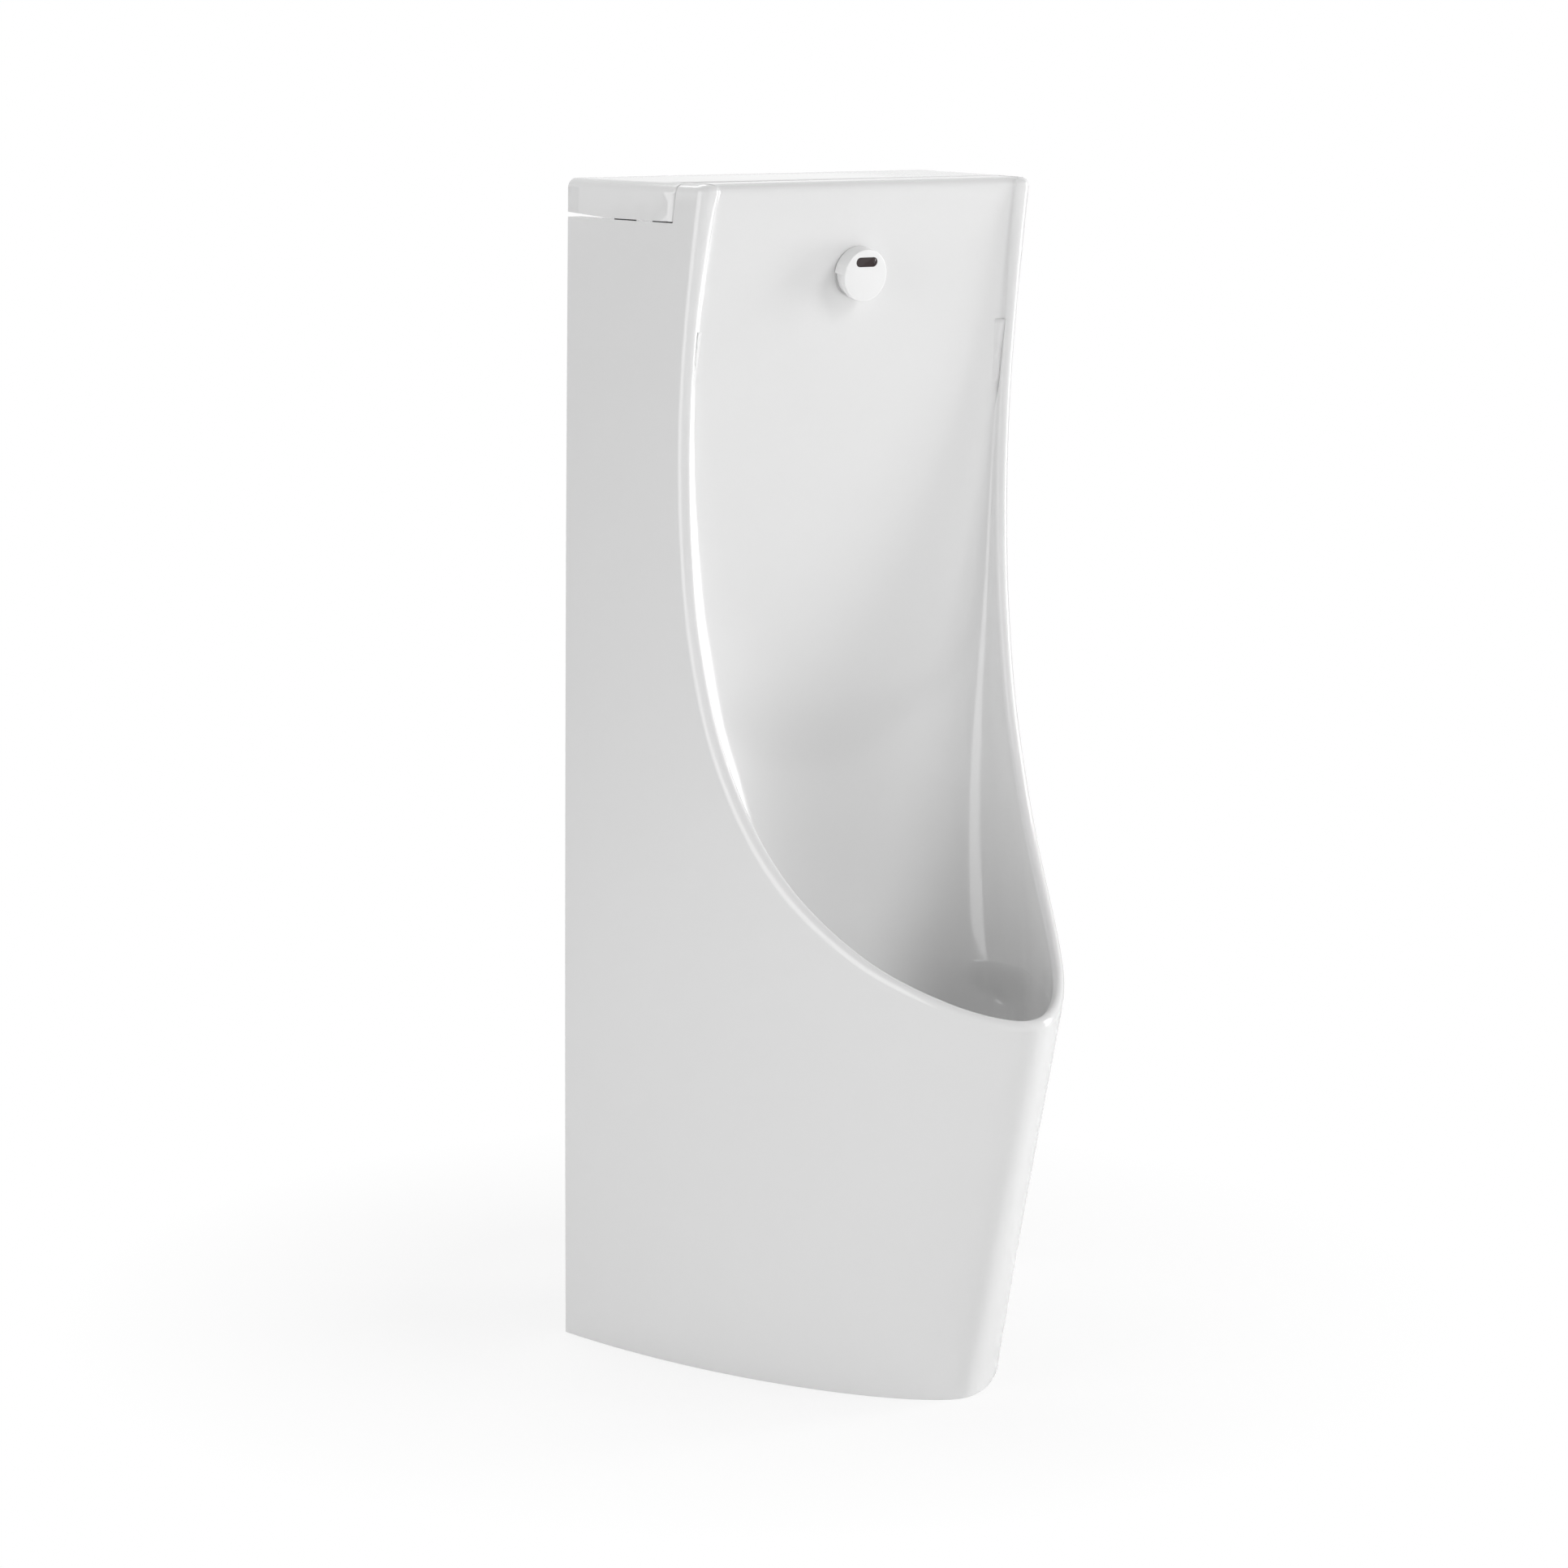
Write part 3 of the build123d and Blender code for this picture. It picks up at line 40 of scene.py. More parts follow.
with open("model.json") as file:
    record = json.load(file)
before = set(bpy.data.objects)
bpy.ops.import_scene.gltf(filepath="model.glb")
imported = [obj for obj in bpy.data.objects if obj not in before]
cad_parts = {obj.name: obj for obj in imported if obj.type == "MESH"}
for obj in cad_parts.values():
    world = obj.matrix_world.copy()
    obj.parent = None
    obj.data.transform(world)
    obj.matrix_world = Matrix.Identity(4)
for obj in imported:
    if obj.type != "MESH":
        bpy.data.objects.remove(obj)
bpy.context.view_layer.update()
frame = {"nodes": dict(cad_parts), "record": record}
nodes = frame["nodes"]
record = frame["record"]
body_of_node = {n: body for body, names in record["behaviour"]["bodies"].items() for n in names}
slot_of_node = {entry["node"]: entry["material_slot"] for entry in record["subparts"]}

# Sizes below are in millimetres, as in the CAD source; meshes are scaled once when they are made
MM = 0.001
HEIGHT = 1000
LIP_LEVEL = 341
COVER_SEAT = 968
SEAM_DEPTH = 147
SEAM_LEAN = 0.2

# Half width at the floor, and what it loses up to the top with the height and with its square
BASE_HALF_WIDTH = 194
STRAIGHT_LOSS = 7
CURVED_LOSS = 6

# Plan outline: shares of depth and width at its control points, at the floor, and their change up to the lip
REACH, REACH_CHANGE = 0.604, -0.100
NARROWING, NARROWING_CHANGE = 0.357, -0.062
NOSE_FULLNESS, FULLNESS_CHANGE = 0.230, 0.094

# Depth of the rounded front at each height, as if the bowl weren't cut away
NOSE = np.array(
    [(0, 334), (170, 382), (340, 431), (450, 458), (600, 496), (750, 555), (880, 642), (1000, 732)], float
)

# Side view of the rim, depth and height, from above the top edge down past the lip
RIM = np.array(
    [
        (188.5, 1010), (185.3, 993), (178.5, 960), (164, 880), (155, 790), (155.5, 700),
        (164, 625), (189.5, 535), (245, 445), (319, 385), (383, 355), (445, 334),
    ],
    float,
)

# Between these heights the rim's rounding grows to that of the top corners, and its band gets wider
GROWTH_START = 880
GROWTH_HEIGHT = 120
WIDER_BAND = 6

# The rim's inner half drops by up to its radius as the bowl gets deeper, at this rate. Below this height the
# bowl counts as deep as it is there
DROP_RATE = 0.75
DROP_LEVEL = 440

# Points on the rim get closer together towards the lip by this power
RIM_CROWDING = 1.7

# The rim meets the rounded front below this height
NEAR_LIP = 400

# Bowl: height, depth of its back wall, where its side wall begins along the outline, corner fullness
BOWL = np.array(
    [
        (1010, 187, 0.2, 0.7), (1000, 184.5, 0.2, 0.7), (975, 174.5, 0.2, 0.7), (922, 160.5, 0.2, 0.7),
        (870, 150, 0.2, 0.7), (760, 131, 0.21, 0.7), (640, 118, 0.23, 0.72), (540, 112, 0.27, 0.72),
        (440, 124, 0.35, 0.7), (360, 150, 0.43, 0.67), (325, 166, 0.47, 0.65),
    ],
    float,
)[::-1]

# Sump: height, back depth, front depth, half width, depth of the widest point, inward lean, fullness
SUMP = [
    (205, 262, 358, 48, 310, 0, 0.55),
    (250, 222, 378, 84, 292, 0.3, 0.6),
    (300, 184, 402, 114, 254, 0.5, 0.62),
]
DRAIN_DEPTH = 310
DRAIN_BORE = 26

# Points on the faces of the CAD body that the glazed surface stands for, and the bend, in degrees, where
# they end
SHOWN_FACES = [
    (190, -40, 400), (-190, -40, 400), (0, -355, 60), (0, -112, 500), (0, -300, 206), (0, -186, 996),
    (0, -175, 999.9), (188, -60, 450), (187.5, -158, 750), (-187.5, -158, 750),
]
FACE_BEND = 25

# Meshes of the glazed body: layers across the rim and samples along it, rows below the lip, and columns
# outside, behind the seam and in the bowl, and steps round the top edge
RIM_LAYERS, RIM_SAMPLES = 16, 150
OUTER_ROWS, OUTER_COLUMNS = 44, 34
BOWL_ROWS, BOWL_COLUMNS = 60, 56
BACK_COLUMNS = 8
TOP_STEPS = 8

# Bends in degrees above which an edge is shaded sharp
BODY_SHARP = 40
COVER_SHARP = 30
FITTING_SHARP = 32

# Camera: place in millimetres and angles in degrees that put the body where the photograph has it
CAMERA_PLACE = (-1920.0, -3120.8, 1133.2)
CAMERA_YAW = 32.017
CAMERA_PITCH = 10.283
CAMERA_LENS = 97.24
SENSOR_WIDTH = 36

# Lamps: place, aim and size in millimetres, and whether reflections show them. Their strengths are settings
LAMPS = {
    "key": ((1500, -2500, 2300), (0, -200, 650), (1400, 1400), False),
    "front": ((-200, -3600, 700), (0, -200, 600), (2400, 1400), False),
    "top": ((0, 1100, 2700), (0, -100, 900), (1600, 1200), True),
    "left": ((-2700, -500, 900), (0, -200, 500), (1800, 2400), True),
    "right": ((2600, -900, 900), (0, -200, 600), (600, 2200), True),
}

# Floor, in metres: half its side, its gap below the object, and the distances from the origin between
# which it fades into white
FLOOR_REACH = 30
FLOOR_GAP = 0.0005
FADE_START = 0.3
FADE_END = 0.62


def pick(name, text, value, low, high, subtype="NONE"):
    """A float setting with its range."""
    return FloatProperty(name=name, description=text, default=value, min=low, max=high, subtype=subtype)


def tint(name, text, value):
    """A colour setting."""
    limits = {"min": 0, "max": 1}
    return FloatVectorProperty(
        name=name, description=text, default=value, size=3, subtype="COLOR", **limits
    )


class BodySettings(bpy.types.PropertyGroup):
    """Sizes and colour of the glazed body, in millimetres."""

    wall: pick("Wall", "Thickness of the ceramic at the rim", 13, 9, 18)
    rim_round: pick("Rim rounding", "Radius of the rim's rounding along the bowl", 6.4, 4, 6.5)
    corner_round: pick("Corner rounding", "Radius of the rounding where the rim meets the top", 8.5, 6.5, 12)
    top_round: pick("Top rounding", "Radius of the top edges", 7.5, 3, 8)
    glaze: tint("Glaze", "Colour of the glaze", (0.76, 0.76, 0.76))
    gloss: pick("Glaze roughness", "Roughness of the glaze", 0.12, 0, 1, "FACTOR")


class FittingSettings(bpy.types.PropertyGroup):
    """Colours of the fittings."""

    plastic: tint("White plastic", "Colour of the sensor head", (0.84, 0.84, 0.84))
    window: tint("Window", "Colour of the infrared window", (0.03, 0.018, 0.018))
    rubber: tint("Rubber", "Colour of hoses, cables and seals", (0.018, 0.018, 0.019))
    brass: tint("Brass", "Colour of the brass fittings", (0.72, 0.52, 0.24))
    steel: tint("Steel", "Colour of the steel pieces", (0.55, 0.56, 0.57))
    grey: tint("Grey plastic", "Colour of the drain pipes and the battery box", (0.3, 0.31, 0.32))


class StudioSettings(bpy.types.PropertyGroup):
    """Light and floor."""

    key: pick("Key light", "Strength of the soft lamp in front on the right", 32.0, 0, 400)
    front: pick("Front light", "Strength of the low soft lamp in front", 25.0, 0, 400)
    top: pick("Top light", "Strength of the soft lamp above and behind", 26.0, 0, 400)
    left: pick("Left light", "Strength of the soft lamp on the left", 39.0, 0, 400)
    right: pick("Right light", "Strength of the tall lamp on the right", 44.0, 0, 400)
    sky: pick("Sky", "Brightness of the surroundings", 0.17, 0, 2)
    veil: pick("Floor veil", "Share of plain white in the floor beside the object", 0.8, 0, 1, "FACTOR")
    floor: tint("Floor", "Colour of the floor", (0.9, 0.9, 0.9))


def follow(places, values, at):
    """Smooth curve through values at rising places: cubic pieces, and at each place the slope is the
    mean of the slopes of the chords on both sides."""
    places, values, at = (np.asarray(a, float) for a in (places, values, at))
    secants = np.diff(values) / np.diff(places)
    slopes = np.concatenate([secants[:1], (secants[1:] + secants[:-1]) / 2, secants[-1:]])
    i = np.clip(np.searchsorted(places, at) - 1, 0, len(places) - 2)
    step = places[i + 1] - places[i]
    u = (at - places[i]) / step
    rest = 1 - u
    ends = values[i] * rest**2 * (1 + 2 * u) + values[i + 1] * u**2 * (3 - 2 * u)
    return ends + step * (slopes[i] * u * rest**2 - slopes[i + 1] * u**2 * rest)


def half_width(level):
    """Half width of the body at its back edge: it narrows with the height and its square."""
    share = np.asarray(level, float) / HEIGHT
    return BASE_HALF_WIDTH - STRAIGHT_LOSS * share - CURVED_LOSS * share**2


def nose_depth(level):
    """Depth of the rounded front, a smooth curve through the listed heights."""
    return follow(NOSE[:, 0], NOSE[:, 1], level)


def outline_controls(level, inset):
    """Control points of the right half of the plan outline as (x, depth), from the back edge to the
    nose."""
    level = np.asarray(level, float)
    q = np.minimum(level / LIP_LEVEL, 1)
    reach = REACH + REACH_CHANGE * q
    narrowing = (NARROWING + NARROWING_CHANGE * q) * reach
    width, nose = half_width(level) - inset, nose_depth(level) - inset
    zero = np.zeros_like(width)
    x = np.stack([width, width * (1 - narrowing), width * (NOSE_FULLNESS + FULLNESS_CHANGE * q), zero])
    depth = np.stack([zero, nose * reach, nose, nose])
    return np.stack([x, depth], axis=-1)


def bezier(controls, u):
    """Cubic curve: the four control points weighted by the Bernstein polynomials of u."""
    weights = np.stack([(1 - u) ** 3, 3 * u * (1 - u) ** 2, 3 * u**2 * (1 - u), u**3])
    return (controls * weights[..., None]).sum(axis=0)


def share_at(depth, level, inset):
    """Share of the plan outline at which it reaches a depth, found by halving the interval."""
    controls = outline_controls(level, inset)
    low, high = np.zeros(controls.shape[1:-1]), np.ones(controls.shape[1:-1])
    halvings = 30
    for _ in range(halvings):
        middle = (low + high) / 2
        short = bezier(controls, middle)[..., 1] < depth
        low, high = np.where(short, middle, low), np.where(short, high, middle)
    return (low + high) / 2


def width_at(depth, level, inset):
    """Half width of the inset outline at a depth and height."""
    return bezier(outline_controls(level, inset), share_at(depth, level, inset))[..., 0]


RIM_RUN = np.concatenate([[0], np.cumsum(np.hypot(*np.diff(RIM, axis=0).T))])


def rim_curve(run, sunk):
    """Depth and height of the rim's side view after a run along it, sunk below it along its normal."""
    step = 0.5
    here = [follow(RIM_RUN, RIM[:, k], run) for k in (0, 1)]
    ahead = [follow(RIM_RUN, RIM[:, k], run + step) for k in (0, 1)]
    along = np.stack([ahead[0] - here[0], ahead[1] - here[1]])
    along /= np.hypot(*along)
    return here[0] + along[1] * sunk, here[1] - along[0] * sunk


def sag_at(level):
    """How far the bowl's back wall lies behind the rim at a height."""
    rim = np.interp(level, RIM[::-1, 1], RIM[::-1, 0])
    return np.maximum(rim - follow(BOWL[:, 0], BOWL[:, 1], np.maximum(level, DROP_LEVEL)), 1)


def rim_layers(body, steps, samples):
    """The rim as a grid (layer, sample, xyz), and the inset of its last layer: a half round across the
    wall, carried along the rim from the top to the lip's middle. Each layer lies on the outline
    inset by its distance from the outer face. It is sunk below the rim's side view by one minus the
    sine of its angle, times the radius outside and the drop inside."""
    top = HEIGHT - body.top_round
    fine = 1500
    dense = np.linspace(0, RIM_RUN[-1], fine)
    along = np.linspace(0, 1, samples)
    grid, insets = [], []
    for angle in np.linspace(0, math.pi, steps + 1):
        level = rim_curve(dense, 0)[1]
        grown = np.clip((level - GROWTH_START) / GROWTH_HEIGHT, 0, 1)
        radius = body.rim_round + (body.corner_round - body.rim_round) * grown**2 * (3 - 2 * grown)
        if angle <= math.pi / 2:
            inset, sunk = radius * (1 - math.cos(angle)), radius * (1 - math.sin(angle))
        else:
            inner = body.wall + WIDER_BAND * grown - radius
            drop = radius * (1 - np.exp(-DROP_RATE * sag_at(level) / radius))
            inset, sunk = radius - inner * math.cos(angle), drop * (1 - math.sin(angle))
        depth, height = rim_curve(dense, sunk)
        first = np.interp(-top, -height, dense)
        beyond = np.argmax((depth >= nose_depth(height) - inset) & (height < NEAR_LIP))
        miss = nose_depth(height) - inset - depth
        last = np.interp(0, -miss[beyond - 1 : beyond + 1], dense[beyond - 1 : beyond + 1])
        run = first + (last - first) * (1 - (1 - along) ** RIM_CROWDING)
        if angle == 0:
            seat = np.interp(-COVER_SEAT, -np.interp(run, dense, height), along)
            nearest = np.argmin(abs(along - seat))
            along[nearest] = seat
            run = first + (last - first) * (1 - (1 - along) ** RIM_CROWDING)
        rows = (values * np.ones_like(dense) for values in (inset, depth, height))
        inset, depth, height = (np.interp(run, dense, values) for values in rows)
        x = width_at(depth, height, inset)
        x[-1] = 0
        grid.append(np.stack([x, -depth, height], axis=-1))
        insets.append(inset)
    return np.array(grid), insets[-1]


def seam_depth(level):
    """Depth of the seam between cover and body, which leans forwards above the seat."""
    return SEAM_DEPTH + SEAM_LEAN * np.maximum(np.asarray(level, float) - COVER_SEAT, 0)


def outer_rows(edge, floor_rows, columns):
    """Outer face from the seam's line to the rim or the nose: rows at the rim's heights and on down to
    the floor, each an even share of the plan outline between its two ends."""
    levels = np.concatenate([edge[:, 2], np.linspace(edge[-1, 2], 0, floor_rows + 1)[1:]])
    depths = np.concatenate([-edge[:, 1], nose_depth(levels[len(edge) :])])
    begin, end = share_at(seam_depth(levels), levels, 0), share_at(depths, levels, 0)
    end[len(edge) - 1 :] = 1
    shares = begin[:, None] + (end - begin)[:, None] * np.linspace(0, 1, columns + 1)
    wide = np.repeat(levels[:, None], columns + 1, axis=1)
    flat = bezier(outline_controls(wide, 0), shares)
    grid = np.stack([flat[..., 0], -flat[..., 1], wide], axis=-1)
    grid[: len(edge), -1] = edge
    grid[len(edge) :, -1, 0] = 0
    return grid


def back_rows(levels, columns):
    """Outer face behind the seam's line, from the wall forwards."""
    shares = share_at(seam_depth(levels), levels, 0)[:, None] * np.linspace(0, 1, columns + 1)
    wide = np.repeat(levels[:, None], columns + 1, axis=1)
    flat = bezier(outline_controls(wide, 0), shares)
    return np.stack([flat[..., 0], -flat[..., 1], wide], axis=-1)


def later_part(controls, share):
    """Control points of the part of a cubic curve after a share of it, by repeated halving of its
    polygon."""
    a, b, c, d = controls
    ab, bc, cd = a + (b - a) * share, b + (c - b) * share, c + (d - c) * share
    abc, bcd = ab + (bc - ab) * share, bc + (cd - bc) * share
    return np.stack([abc + (bcd - abc) * share, bcd, cd, d])


def bowl_controls(level, wall, limit):
    """Seven control points of the bowl's right half section at a height: the back wall's curve into the
    start of the side wall, and the side wall on to the nose. The side wall never starts further
    forwards than the limit."""
    back, share, full = (follow(BOWL[:, 0], BOWL[:, k], level) for k in (1, 2, 3))
    share = min(float(share), float(limit))
    side = later_part(outline_controls(level, wall), share)
    along = side[1] - side[0]
    along /= np.hypot(*along)
    corner = side[0] - along * (side[0][1] - back) * full
    return np.stack([np.array([0, back]), np.array([side[0][0] * full, back]), corner, *side])


def sump_controls(back, front, half, widest, lean, full):
    """The same seven points for the sump, an oval that leans in towards the front."""
    along = np.array([-lean, 1]) / math.hypot(lean, 1)
    start = np.array([half, widest])
    roundness = 0.55
    ahead = start + along * (front - widest) * roundness
    side = [start, ahead, np.array([half * roundness, front]), np.array([0, front])]
    corner = start - along * (widest - back) * full
    return np.stack([np.array([0, back]), np.array([half * full, back]), corner, *side])


def bowl_row(controls, level, until, columns):
    """One row of the bowl: both curves of its section as one line, cut at a depth and shared out evenly by
    length."""
    fine = 90
    u = np.linspace(0, 1, fine)
    line = np.concatenate([bezier(controls[:4, None], u), bezier(controls[3:, None], u)[1:]])
    run = np.concatenate([[0], np.cumsum(np.hypot(*np.diff(line, axis=0).T))])
    last = run[-1] if until is None else np.interp(until, line[:, 1], run)
    even = np.linspace(0, last, columns + 1)
    x, depth = np.interp(even, run, line[:, 0]), np.interp(even, run, line[:, 1])
    return np.stack([x, -depth, np.full_like(x, level)], axis=-1)


def bowl_rows(edge, insets, wall, low_rows, columns):
    """Bowl and forehead from the top edge down to the drain: rows at the heights of the rim's inner
    edge, then sections that blend into the sump's oval, then rings across its floor to the drain's
    bore."""
    rows = []
    for (x, y, level), inset in zip(edge[:-1], insets):
        limit = share_at(-y, level, inset)
        row = bowl_row(bowl_controls(level, inset, limit), level, -y, columns)
        row[-1] = (x, y, level)
        rows.append(row)
    tip = edge[-1, 2]
    above = 30
    knots = [level for level, *_ in SUMP] + [tip, tip + above]
    shapes = [sump_controls(*rest) for _, *rest in SUMP] + [bowl_controls(k, wall, 1) for k in knots[-2:]]
    columns_of_controls = np.array(shapes).reshape(len(knots), -1).T
    for level in np.linspace(tip, SUMP[0][0], low_rows + 1):
        controls = np.array([follow(knots, column, level) for column in columns_of_controls]).reshape(7, 2)
        rows.append(bowl_row(controls, level, None, columns))
    rows[len(edge) - 1][-1] = edge[-1]
    floor = rows[-1]
    angle = np.arctan2(floor[:, 0], DRAIN_DEPTH + floor[:, 1])
    across, ahead = DRAIN_BORE * np.sin(angle), DRAIN_BORE * np.cos(angle)
    ring = np.stack([across, ahead - DRAIN_DEPTH, floor[:, 2]], axis=-1)
    rows += [floor + (ring - floor) * share for share in (0.25, 0.6, 1)]
    return np.array(rows)


def top_rows(rim, outer, bowl, radius, steps):
    """Rounded top edge and the flat strip behind it: the plan line of the front at the top row is drawn
    in along its normals by one minus the cosine of a quarter turn's angle while it rises by the
    sine, and then joined to the seam."""
    line = np.concatenate([outer[0], rim[1:, 0], bowl[0][::-1][1:]])
    ahead = np.gradient(line[:, :2], axis=0)
    ahead[-1] = (-1, 0)
    ahead /= np.hypot(*ahead.T)[:, None]
    outward = np.stack([-ahead[:, 1], ahead[:, 0]], axis=-1)
    outward *= np.sign(outward[0, 0])
    columns = len(outer[0]) - 1
    rows = [line]
    for angle in np.linspace(0, math.pi / 2, steps + 1)[1:]:
        row = line.copy()
        row[:, :2] -= outward * radius * (1 - math.cos(angle))
        row[:, 2] += radius * math.sin(angle)
        lean = seam_depth(row[0, 2]) - seam_depth(line[0, 2])
        row[: columns + 1, 1] -= lean * np.linspace(1, 0, columns + 1)
        rows.append(row)
    last = rows[-1]
    seam = last.copy()
    seam[:, 0] = np.minimum(last[:, 0], last[0, 0])
    seam[:, 1] = last[0, 1]
    rows += [last + (seam - last) * share for share in (0.3, 1)]
    return np.array(rows)


def quads(rows, columns, start, flip):
    """Vertex numbers of a grid's quads, row by row."""
    base = (np.arange(rows - 1)[:, None] * columns + np.arange(columns - 1)).ravel() + start
    faces = np.stack([base, base + 1, base + columns + 1, base + columns], axis=-1)
    return faces[:, ::-1] if flip else faces


def mesh_from_grids(name, grids, weld=0.02):
    """A mesh from grids of points in millimetres, each with a flag that turns its faces round. Points
    that coincide are welded, which also closes poles."""
    points, faces, start = [], [], 0
    for grid, flip in grids:
        rows, columns = grid.shape[:2]
        points.append(grid.reshape(-1, 3))
        faces.append(quads(rows, columns, start, flip))
        start += rows * columns
    mesh = bpy.data.meshes.new(name)
    mesh.from_pydata((np.concatenate(points) * MM).tolist(), [], np.concatenate(faces).tolist())
    work = bmesh.new()
    work.from_mesh(mesh)
    bmesh.ops.remove_doubles(work, verts=work.verts, dist=weld * MM)
    bmesh.ops.dissolve_degenerate(work, edges=work.edges, dist=1e-7)
    work.to_mesh(mesh)
    work.free()
    return mesh


def mirrored(grids):
    """The grids and their mirror images across x = 0, which face the other way round."""
    return grids + [(grid * (-1, 1, 1), not flip) for grid, flip in grids]


def place(mesh, name, node, material, angle):
    """An object with a finished mesh that stands for a CAD node and rides on its body, smooth up to an
    angle."""
    piece = bpy.data.objects.new(name, mesh)
    bpy.context.scene.collection.objects.link(piece)
    mesh.materials.clear()
    mesh.materials.append(material)
    mesh.shade_smooth()
    mesh.set_sharp_from_angle(angle=math.radians(angle))
    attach(piece, body_of_node[node])
    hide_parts(node)
    return piece


def merged_copy(node, weld=1e-5):
    """A copy of a CAD node's triangles with their corners welded. The distance is in metres."""
    work = bmesh.new()
    work.from_mesh(nodes[node].data)
    bmesh.ops.remove_doubles(work, verts=work.verts, dist=weld)
    return work


def remove_shown_faces(work, seeds, angle):
    """Removes what smoothly joins the seed points: from the face nearest to each seed, all faces are
    taken that are reached across edges bent by less than an angle. What is left is the unseen back
    of the body."""
    work.faces.ensure_lookup_table()
    centres = np.array([f.calc_center_median() for f in work.faces])
    limit = math.radians(angle)
    taken = set()
    for seed in seeds:
        distances = ((centres - np.array(seed) * MM) ** 2).sum(axis=1)
        queue = [work.faces[int(np.argmin(distances))]]
        while queue:
            face = queue.pop()
            if face in taken:
                continue
            taken.add(face)
            for edge in face.edges:
                if len(edge.link_faces) == 2 and edge.calc_face_angle(math.pi) < limit:
                    queue += [f for f in edge.link_faces if f not in taken]
    bmesh.ops.delete(work, geom=list(taken), context="FACES")


def noise_group():
    """Shader group: fine unevenness of a surface, as a height and a spread of roughness around one
    value."""
    title = "Fine unevenness"
    group = bpy.data.node_groups.get(title) or bpy.data.node_groups.new(title, "ShaderNodeTree")
    if group.nodes:
        return group
    for name, default in (("Grain", 400.0), ("Roughness", 0.3), ("Spread", 0.05)):
        socket = group.interface.new_socket(name, in_out="INPUT", socket_type="NodeSocketFloat")
        socket.default_value = default
    for name in ("Height", "Roughness"):
        group.interface.new_socket(name, in_out="OUTPUT", socket_type="NodeSocketFloat")
    source, sink = group.nodes.new("NodeGroupInput"), group.nodes.new("NodeGroupOutput")
    where = group.nodes.new("ShaderNodeTexCoord")
    fine, wide = group.nodes.new("ShaderNodeTexNoise"), group.nodes.new("ShaderNodeTexNoise")
    wide.inputs["Scale"].default_value = 14
    fine.inputs["Detail"].default_value = 2
    group.links.new(where.outputs["Object"], fine.inputs["Vector"])
    group.links.new(where.outputs["Object"], wide.inputs["Vector"])
    group.links.new(source.outputs["Grain"], fine.inputs["Scale"])
    centred = group.nodes.new("ShaderNodeMath")
    centred.operation = "SUBTRACT"
    centred.inputs[1].default_value = 0.5
    scaled = group.nodes.new("ShaderNodeMath")
    scaled.operation = "MULTIPLY_ADD"
    group.links.new(wide.outputs["Fac"], centred.inputs[0])
    group.links.new(centred.outputs[0], scaled.inputs[0])
    group.links.new(source.outputs["Spread"], scaled.inputs[1])
    group.links.new(source.outputs["Roughness"], scaled.inputs[2])
    group.links.new(fine.outputs["Fac"], sink.inputs["Height"])
    group.links.new(scaled.outputs[0], sink.inputs["Roughness"])
    return group


def finish_of(name, colour, roughness, metallic=0.0, grain=400.0, depth=0.02, spread=0.05):
    """A material with an even colour and fine unevenness in its relief and roughness."""
    material = bpy.data.materials.get(name) or bpy.data.materials.new(name)
    material.use_nodes = True
    tree = material.node_tree
    shader = tree.nodes["Principled BSDF"]
    shader.inputs["Base Color"].default_value = (*colour, 1)
    shader.inputs["Metallic"].default_value = metallic
    uneven = tree.nodes.new("ShaderNodeGroup")
    uneven.node_tree = noise_group()
    uneven.inputs["Grain"].default_value = grain
    uneven.inputs["Roughness"].default_value = roughness
    uneven.inputs["Spread"].default_value = spread
    relief = tree.nodes.new("ShaderNodeBump")
    relief.inputs["Strength"].default_value = 1
    relief.inputs["Distance"].default_value = depth * MM
    tree.links.new(uneven.outputs["Height"], relief.inputs["Height"])
    tree.links.new(uneven.outputs["Roughness"], shader.inputs["Roughness"])
    tree.links.new(relief.outputs["Normal"], shader.inputs["Normal"])
    return material


def glaze(body):
    """Glossy white glaze with a faint orange-peel relief."""
    return finish_of("Glaze", body.glaze, body.gloss, grain=120, depth=0.003, spread=0.02)


class CeramicBody(bpy.types.Operator):
    """Glazed body: outer face, half-round rim, forehead and bowl, with the unseen back taken from the
    frame."""

    bl_idname = "urinal.ceramic_body"
    bl_label = "Ceramic body"

    def execute(self, context):
        body = context.scene.urinal_body
        rim, insets = rim_layers(body, RIM_LAYERS, RIM_SAMPLES)
        outer = outer_rows(rim[0], OUTER_ROWS, OUTER_COLUMNS)
        bowl = bowl_rows(rim[-1], insets, body.wall, BOWL_ROWS, BOWL_COLUMNS)
        seat = np.argmin(abs(outer[:, 0, 2] - COVER_SEAT))
        back = back_rows(outer[seat:, 0, 2], BACK_COLUMNS)
        top = top_rows(rim, outer, bowl, body.top_round, TOP_STEPS)
        shown = [(outer, False), (back, False), (rim.transpose(1, 0, 2), False), (bowl, True), (top, True)]
        mesh = mesh_from_grids("ceramic_body", mirrored(shown))
        rear = merged_copy("ceramic_body")
        remove_shown_faces(rear, SHOWN_FACES, FACE_BEND)
        rear.from_mesh(mesh)
        rear.to_mesh(mesh)
        rear.free()
        place(mesh, "glazed_body", "ceramic_body", glaze(body), BODY_SHARP)
        return {"FINISHED"}


class TopCover(bpy.types.Operator):
    """Glazed lift-off cover with its rounded side edges."""

    bl_idname = "urinal.top_cover"
    bl_label = "Top cover"

    def execute(self, context):
        work = merged_copy("top_cover")
        mesh = bpy.data.meshes.new("top_cover")
        work.to_mesh(mesh)
        work.free()
        place(mesh, "glazed_cover", "top_cover", glaze(context.scene.urinal_body), COVER_SHARP)
        return {"FINISHED"}


